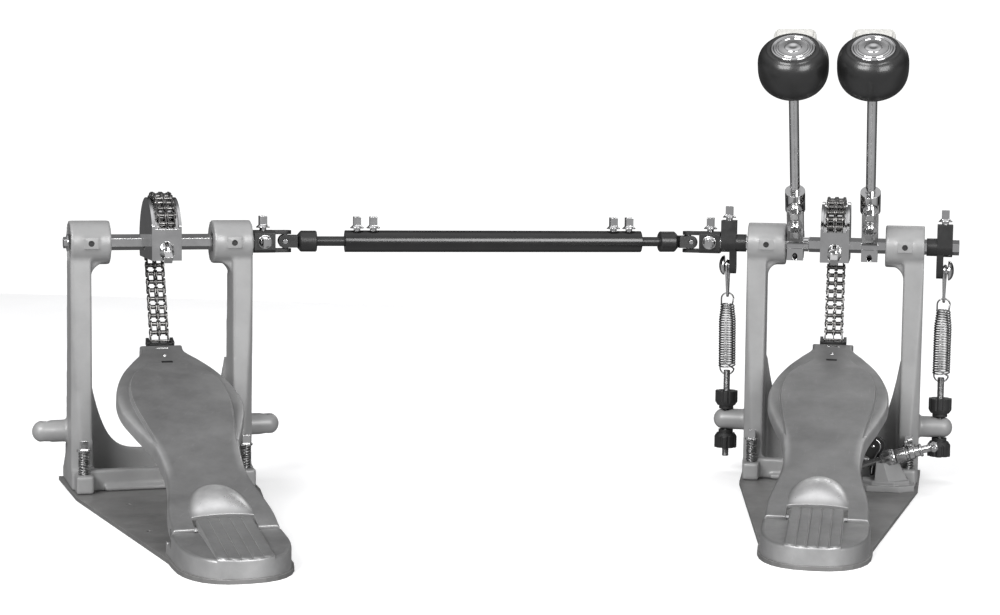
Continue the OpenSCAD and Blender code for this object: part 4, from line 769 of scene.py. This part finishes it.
def spring_path():
    """A hooked end as wide as the coil, a close coil whose upper turns draw in, and a long arch above."""
    low = arc((0, 0, LOOP_Z), LOW_LOOP, -212, -8, 34)
    a = np.linspace(0, 2 * np.pi * TURNS, TURNS * 30)
    z = COIL_LOW + COIL_LEN * a / a[-1]
    draw = 1 - 0.20 * (1 - eased((a[-1] - a) / (2 * np.pi * 8)))
    coil = np.stack([COIL_R * draw * np.cos(a), COIL_R * draw * np.sin(a), z], 1)
    high = arc((0, 0, COIL_LOW + COIL_LEN + 4.2), HIGH_LOOP, 8, 172, 30)
    leg = np.stack([np.full(5, -HIGH_LOOP), np.zeros(5), COIL_LOW + COIL_LEN + np.linspace(3.4, -0.6, 5)], 1)
    return np.concatenate([low, coil[8:-3], high, leg])


def hook_path():
    """A bent wire that hangs on the stud: down its front strand, through a narrow eye, and up the back strand. Seen
    from ahead, the two strands part a little towards the stud."""
    a = np.radians(np.linspace(90, 450, 73))[:-1]
    low, high, eye = 157.2, 180.4, 3.9
    y = eye * np.cos(a) * np.where(np.sin(a) < 0, 0.66, 1)
    z = np.where(np.sin(a) > 0, high, low) + eye * np.sin(a) * np.where(np.sin(a) < 0, 0.9, 1)
    path = np.stack([0.9 * np.cos(a) * (z > low), y, z], 1)
    k = np.linspace(0, 1, 20)[1:-1, None]
    quarter = 18
    down = path[quarter] + k * (path[quarter + 1] - path[quarter])
    up = path[3 * quarter - 1] + k * (path[3 * quarter] - path[3 * quarter - 1])
    return np.concatenate([path[:quarter + 1], down, path[quarter + 1:3 * quarter], up, path[3 * quarter:]])


for side, sign in (("right", 1), ("left", -1)):
    hang = at_line(sign)
    ends = hang(np.array([[0, 0, COIL_LOW], [0, 0, COIL_LOW + COIL_LEN]])) * MM
    add(f"{side}_return_spring", swept(spring_path(), WIRE / 2, 10), None, "screw", [hang], [f"{side}_spring"],
        bend=(f"{side}_coil", f"{side}_hook", tuple(ends[0]), tuple(ends[1])), smooth=60)
    add(f"{side}_hook_wire", swept(hook_path(), 1.2, 10, False), f"{side}_hook", "chromed", [hang],
        [f"{side}_spring_hook"], smooth=60)


SPUR = (64.7, -24.0, 0.0)
SPUR_LOW, SPUR_HIGH, SPUR_TURNS, SPUR_R, SPUR_END = 17.6, 36.0, 9, 3.95, 0.53


def spur_spring_path():
    """A short open coil between the foot block and the spur's head, a little closer at its ends."""
    a = np.linspace(0, 2 * np.pi * SPUR_TURNS, SPUR_TURNS * 28)
    climb = (a - np.sin(a / SPUR_TURNS * 2) * 1.2) / a[-1]
    z = SPUR_LOW + SPUR_END + (SPUR_HIGH - SPUR_LOW - 2 * SPUR_END) * climb
    return np.stack([SPUR_R * np.cos(a), SPUR_R * np.sin(a), z], 1)


SPUR_PAIR = mirrored(lifted(swept(spur_spring_path(), 0.6, 8), *SPUR))
for pedal, place in PEDALS:
    add(f"{pedal}_spur_coils", SPUR_PAIR, f"{pedal}_frame", "screw", place, [f"{pedal}_spur_springs"], smooth=60)


# ---------------------------------------------------------------- hoop clamp

T_AT, T_TILT = np.array([54.0, -45.0, 30.0]), -17.0
PIVOT = (8.0, 16.0)
LEVER_X, LEVER_Y, LEVER_HALF = 37.5, -28.6, 3.6


def at_t(points):
    """Points drawn along X, put on the T screw's line."""
    return turned(points, T_TILT, "Y") + T_AT


def along_x(profile, sides=32):
    """A profile of (radius, place) turned about the X axis."""
    return on_side(revolved(profile, sides))


def frustum(low, high, z0, z1):
    """A block between two polygons with as many corners."""
    rings = [np.column_stack([low, np.full(len(low), z0)]), np.column_stack([high, np.full(len(high), z1)])]
    return lofted(np.array(rings, float))


FOOT = [(32, -63), (58, -63), (70, -54), (70, -36.5), (26, -36.5), (26, -57)]
STEP = [(28, -53), (36, -59), (54, -59), (66, -50), (66, -37.5), (28, -37.5)]
BLOCK_LOW = [(38, -57), (49.5, -58.5), (64, -45), (64, -38), (38, -38)]
BLOCK_HIGH = [(39, -50.5), (45.0, -51.5), (57, -43), (57, -39.5), (39, -39.5)]
LUG = [(2, 3), (14, 3), (14, 18), (11, 22), (5, 22), (2, 18)]
CLAW = [(5, 13), (14, 15), (43.5, 15), (45.5, 14), (55.5, 14), (55.5, 19), (16, 20), (5, 19)]
LEAF = [(3, 13), (11, 11), (13, 20), (-12, 33), (-28, 38), (-35, 36), (-34, 29), (-22, 24), (-10, 22.5)]
HOOK = [(38.0, 42.5), (41.5, 42.8), (44.6, 40.5), (45.2, 36.5), (43.2, 32.8), (40.5, 28.5), (38.4, 24), (37.4, 17),
        (36.6, 12.5), (34.6, 12.2), (34.2, 17.5), (34.6, 23.5), (33.0, 27.5), (30.2, 28.5), (30.4, 34.5),
        (35.0, 38.5)]
HOOK_MIDDLE = [(38.3, 41.6), (40.3, 40.2), (41.9, 37.4), (41.7, 34.6), (40.3, 31.4), (38.2, 27.8), (36.7, 23.6),
               (35.9, 18.6), (35.4, 13.6)]
NUT_R, TEETH = 7.0, 10
COLLAR = [(0, -11.5), (5.2, -11.5), (5.6, -11), (5.6, -9), (0, -9)]
WASHER = [(0, -2.5), (6.0, -2.5), (6.4, -2), (6.4, -0.6), (6.0, 0), (0, 0)]
GUARD = [(0, 0.4), (5.4, 0.4), (6.0, 1.0), (6.0, 8.6), (5.4, 9.2), (4.8, 9.4), (4.8, 11), (0, 11)]
SLEEVE = [(0, 11.5), (5.2, 11.5), (5.6, 12), (5.6, 15.5), (4.6, 16.5), (4.6, 20), (5.4, 20.8), (5.4, 22),
          (4.9, 22.6), (0, 22.6)]
STEM = [(0, 22), (3.1, 22), (3.1, 29), (3.5, 29.4), (3.5, 34.5), (3.0, 35.2), (0, 35.2)]
SHANK = [(0, -70), (2.9, -70), (2.9, -12), (0, -12)]
CROSS_BAR = [(0, -13), (1.9, -13), (2.5, -12.4), (2.5, 12.4), (1.9, 13), (0, 13)]
JAW_SHAFT = [(0, -25.5), (3.6, -25.5), (4, -25.1), (4, 40), (3.6, 40.4), (0, 40.4)]
BUTTON = [(0, 0), (1.5, 0), (1.5, 0.6), (0.9, 1.1), (0, 1.25)]

block = frustum(BLOCK_LOW, BLOCK_HIGH, 11.0, 25.0)
lug = lifted(on_side(slab(outline(LUG, 1.2), -3, 3, 0.4)), 22.5, 0, 0)
add("clamp_body", joined(slab(outline(FOOT, 0.8), 3.0, 8.0, 0.4), slab(outline(STEP, 1.5), 7.9, 11.1, 0.4), block,
                         lug, lifted(lug, -45, 0, 0)),
    "main_frame", "cast_frame", nodes=["clamp_base"])
turns = [(NUT_R - k % 2, rad(180 / TEETH * k + 12)) for k in range(2 * TEETH)]
splined = [(r * math.cos(a), r * math.sin(a)) for r, a in turns]
add("clamp_nut", joined(on_side(slab(outline(splined, 0.3), -9.5, -2.0, 0.5)), along_x(COLLAR), along_x(WASHER)),
    "main_frame", "jaw", [at_t])
add("clamp_guard", along_x(GUARD), "main_frame", "jaw", [at_t])
add("clamp_sleeve", joined(along_x(SLEEVE), along_x(STEM), along_x(SHANK, 20)), "clamp_screw", "jaw", [at_t],
    ["clamp_screw"])
add("clamp_cross_bar", lifted(facing(revolved(CROSS_BAR, 24)), 32, 0, 0), "clamp_screw", "jaw", [at_t])
add("clamp_claw", joined(on_side(slab(outline(CLAW, 0.8), -17, 17, 0.4)), lifted(along_x(JAW_SHAFT), 0, *PIVOT)),
    "clamp_jaw", "jaw", nodes=["clamp_jaw"])
leaf = slab(outline(LEAF, 1.5), LEVER_X - LEVER_HALF, LEVER_X + LEVER_HALF, 0.5)
hook = flipped(slab(outline(HOOK, 1.0), 0, 6.5, 0.6))
add("clamp_lever", joined(on_side(leaf), lifted(facing(hook), 0, LEVER_Y, 0)), "clamp_jaw", "black_metal")
k = np.linspace(0, len(HOOK_MIDDLE) - 1, 50)
x, z = (through([(i, point[c]) for i, point in enumerate(HOOK_MIDDLE)], k) for c in (0, 1))
bead = swept(np.column_stack([x, np.full(len(k), LEVER_Y - 6.8), z]), 0.62, 10)
button = lifted(facing(revolved(BUTTON, 24)), 36.0, LEVER_Y - 6.4, 36.0)
add("clamp_lever_edge", joined(bead, button), "clamp_jaw", "chromed")


# ---------------------------------------------------------------- chain

GAP, WINDOW, LINK_T, PLATE_R, ROLLER_R, PIN_R = 6.9, 4.0, 1.05, 3.0, 1.75, 1.05
TOE_W = 22.0


def chain_pin(i):
    """Middle of pin i in Y and Z: above 0 round the cam, below 0 down the hanging run."""
    turn = 2 * math.degrees(math.asin(PITCH / 2 / CAM_R))
    c, s = math.cos(rad(CHAIN_LEAN)), math.sin(rad(CHAIN_LEAN))
    if i > 0:
        a = rad(i * turn - CHAIN_LEAN)
        return np.array([CAM_R * math.cos(a), AXLE_H + CAM_R * math.sin(a)])
    return np.array([CAM_R * c + i * PITCH * s, AXLE_H - CAM_R * s + i * PITCH * c])


def link_plate(x, thick=LINK_T):
    """A chain plate about two pins: r follows the two ends' circles and dips between them to the waist."""
    a = np.radians(np.arange(-81, 82, 9))
    right = np.stack([PITCH + PLATE_R * np.cos(a), PLATE_R * np.sin(a)], 1)
    t = np.linspace(0.14, 0.86, 9)
    waist = PLATE_R - 0.9 * np.sin(np.pi * t) ** 0.7
    top = np.stack([PITCH * (1 - t), waist], 1)
    bottom = np.stack([PITCH * t, -waist], 1)
    ring = np.concatenate([right, top, [PITCH, 0] - right, bottom])
    return on_side(slab(ring, x - thick / 2, x + thick / 2, 0.18, 3))


def round_bar(y, radius, x0, x1, sides=14, dome=0.3):
    """A bar along X about (y, 0) with domed ends."""
    h = x1 - x0
    profile = [(0, 0), (radius - dome, 0), (radius, dome), (radius, h - dome), (radius - dome, h), (0, h)]
    return lifted(on_side(revolved(profile, sides)), x0, y, 0)


edge = WINDOW / 2
INNER = joined(*[part for middle in (-GAP / 2, GAP / 2) for part in (
    link_plate(middle - edge - LINK_T / 2), link_plate(middle + edge + LINK_T / 2),
    round_bar(0, ROLLER_R, middle - edge, middle + edge, 16),
    round_bar(PITCH, ROLLER_R, middle - edge, middle + edge, 16))])
OUT = GAP / 2 + edge + LINK_T + 0.1
TIP = OUT + LINK_T + 0.45
OUTER = joined(link_plate(-OUT - LINK_T / 2), link_plate(OUT + LINK_T / 2),
               link_plate(0, GAP - WINDOW - 2 * LINK_T - 0.1),
               round_bar(0, PIN_R, -TIP, TIP), round_bar(PITCH, PIN_R, -TIP, TIP))


def chain(first, last):
    """Links from pin first to pin last, each turned to lie from its pin to the next."""
    links = []
    for i in range(first, last):
        a, b = chain_pin(i), chain_pin(i + 1)
        p, f = OUTER if (i + RUN) % 2 == 0 else INNER
        lie = math.degrees(math.atan2(b[1] - a[1], b[0] - a[0]))
        links.append(lifted((turned(p, lie, "X"), f), 0, *a))
    if first == -RUN:
        links.append(lifted(round_bar(0, PIN_R, 0.6 - TOE_W / 2, TOE_W / 2 - 0.6), 0, *chain_pin(first)))
    return joined(*links)


for (pedal, place), axle in zip(PEDALS, ("primary_axle", "slave_axle")):
    add(f"{pedal}_chain_on_cam", chain(BEND, BEND + WRAP), axle, "chain", place, [f"{pedal}_chain_wrap"])
    ends = np.array([[0, *chain_pin(BEND)], [0, *chain_pin(0)]])
    for move in place:
        ends = move(ends)
    add(f"{pedal}_chain_run", chain(-RUN, BEND), None, "chain", place, [f"{pedal}_chain_free"],
        bend=(axle, f"{pedal}_chain", tuple(ends[0] * MM), tuple(ends[1] * MM)))


# ---------------------------------------------------------------- stage, light and camera

def stage():
    """A pale flat floor, a little brighter than the white of the room round it so that its rim doesn't show."""
    x, y = np.meshgrid([-1700.0, 1200.0], [-1250.0, 1500.0])
    mesh = bpy.data.meshes.new("studio_floor")
    mesh.from_pydata((np.stack([x, y, 0 * x], -1).reshape(-1, 3) * MM).tolist(), [], [(0, 1, 3, 2)])
    floor = shown("studio_floor", mesh)
    paper = Nodes(bpy.data.materials.new("studio paper"))
    mottle = paper.span(paper.noise(9, 3), 0.90, 0.93)
    paper.set(Base_Color=paper.mix(mottle, (0, 0, 0, 1), (1, 1, 1, 1)), Roughness=0.9,
              Emission_Color=(1, 1, 1, 1), Emission_Strength=0.22)
    mesh.materials.append(paper.owner)
    floor.visible_glossy = floor.visible_diffuse = False


def softbox(name, place, target, size, power):
    """A rectangular lamp at a place in metres, facing its target."""
    lamp = bpy.data.lights.new(name, "AREA")
    lamp.shape = "RECTANGLE"
    lamp.size, lamp.size_y = size
    lamp.energy = power
    box = shown(name, lamp)
    back = np.array(place, float) - target
    back /= np.linalg.norm(back)
    right = np.cross([0, 0, 1.0] if abs(back[2]) < 0.99 else [0, 1.0, 0], back)
    right /= np.linalg.norm(right)
    m = np.eye(4)
    m[:3, 0], m[:3, 1], m[:3, 2], m[:3, 3] = right, np.cross(back, right), back, place
    box.matrix_world = Matrix(m.tolist())
    return box


def camera():
    """The photograph's eye: 1.7 m in front, low, turned a little to the left and rolled by 0.68 degrees."""
    lens = bpy.data.cameras.new("photo_camera")
    lens.lens, lens.sensor_width = 72.0, 36.0
    lens.clip_end = 50
    eye = shown("photo_camera", lens)
    pitch, roll = rad(5.16), rad(-0.68)
    ahead = np.array([-0.1942, 0.98096, 0])
    forward = ahead * math.cos(pitch) - [0, 0, math.sin(pitch)]
    up = ahead * math.sin(pitch) + [0, 0, math.cos(pitch)]
    right = np.array([ahead[1], -ahead[0], 0])
    m = np.eye(4)
    m[:3, 0] = right * math.cos(roll) - up * math.sin(roll)
    m[:3, 1] = right * math.sin(roll) + up * math.cos(roll)
    m[:3, 2] = -forward
    m[:3, 3] = np.array([49.9, -1700.8, 295.5]) * MM
    eye.matrix_world = Matrix(m.tolist())
    bpy.context.scene.camera = eye


def sky():
    """A white room as the eye sees it. Its light for the fill is even, weaker from below, and polished metal
    mirrors a darker room: dim at eye height, brighter overhead, and dimmer behind the part."""
    world = bpy.data.worlds.new("studio_light")
    bpy.context.scene.world = world
    m = Nodes(world)
    way = m.add("ShaderNodeSeparateXYZ", m.place["Generated"]).outputs
    height = m.span(way["Z"], 0, 1, -1, 1)
    ray = m.add("ShaderNodeLightPath").outputs

    def height_ramp(stops):
        ramp = m.add("ShaderNodeValToRGB", height)
        line = ramp.color_ramp.elements
        for k, (position, value) in enumerate(stops):
            stop = line[k] if k < 2 else line.new(position)
            stop.position, stop.color = position, (value, value, value * 1.015, 1)
        return ramp.outputs[0]

    fill = height_ramp(((0.0, 0.40), (1.0, 0.42), (0.42, 0.46), (0.56, 0.62)))
    mirror = height_ramp(((0.0, 0.55), (1.0, 1.0), (0.36, 0.42), (0.49, 0.44), (0.55, 0.24), (0.62, 0.09),
                          (0.74, 0.30), (0.86, 0.70)))
    behind = m.mix(1.0, mirror, m.span(way["Y"], 1.0, 0.24, 0.08, 0.46), "MULTIPLY")
    lit = m.mix(ray["Is Glossy Ray"], fill, behind)
    m.feed(m.tree.nodes["Background"].inputs[0], m.mix(ray["Is Camera Ray"], lit, (1.1, 1.1, 1.1, 1)))


bpy.context.scene.view_settings.view_transform = "Standard"
stage()
camera()
sky()
softbox("key_light", (-1.1, -2.5, 1.5), (-0.25, 0, 0.15), (1.5, 1.1), 76)
softbox("fill_light", (1.3, -2.1, 1.0), (-0.2, 0, 0.15), (1.2, 1.2), 46)
softbox("top_light", (-0.25, 0.3, 2.5), (-0.25, -0.1, 0.1), (2.2, 1.0), 9).visible_glossy = False
softbox("rim_light", (0.5, 2.2, 1.5), (-0.25, 0, 0.15), (1.8, 0.8), 8)
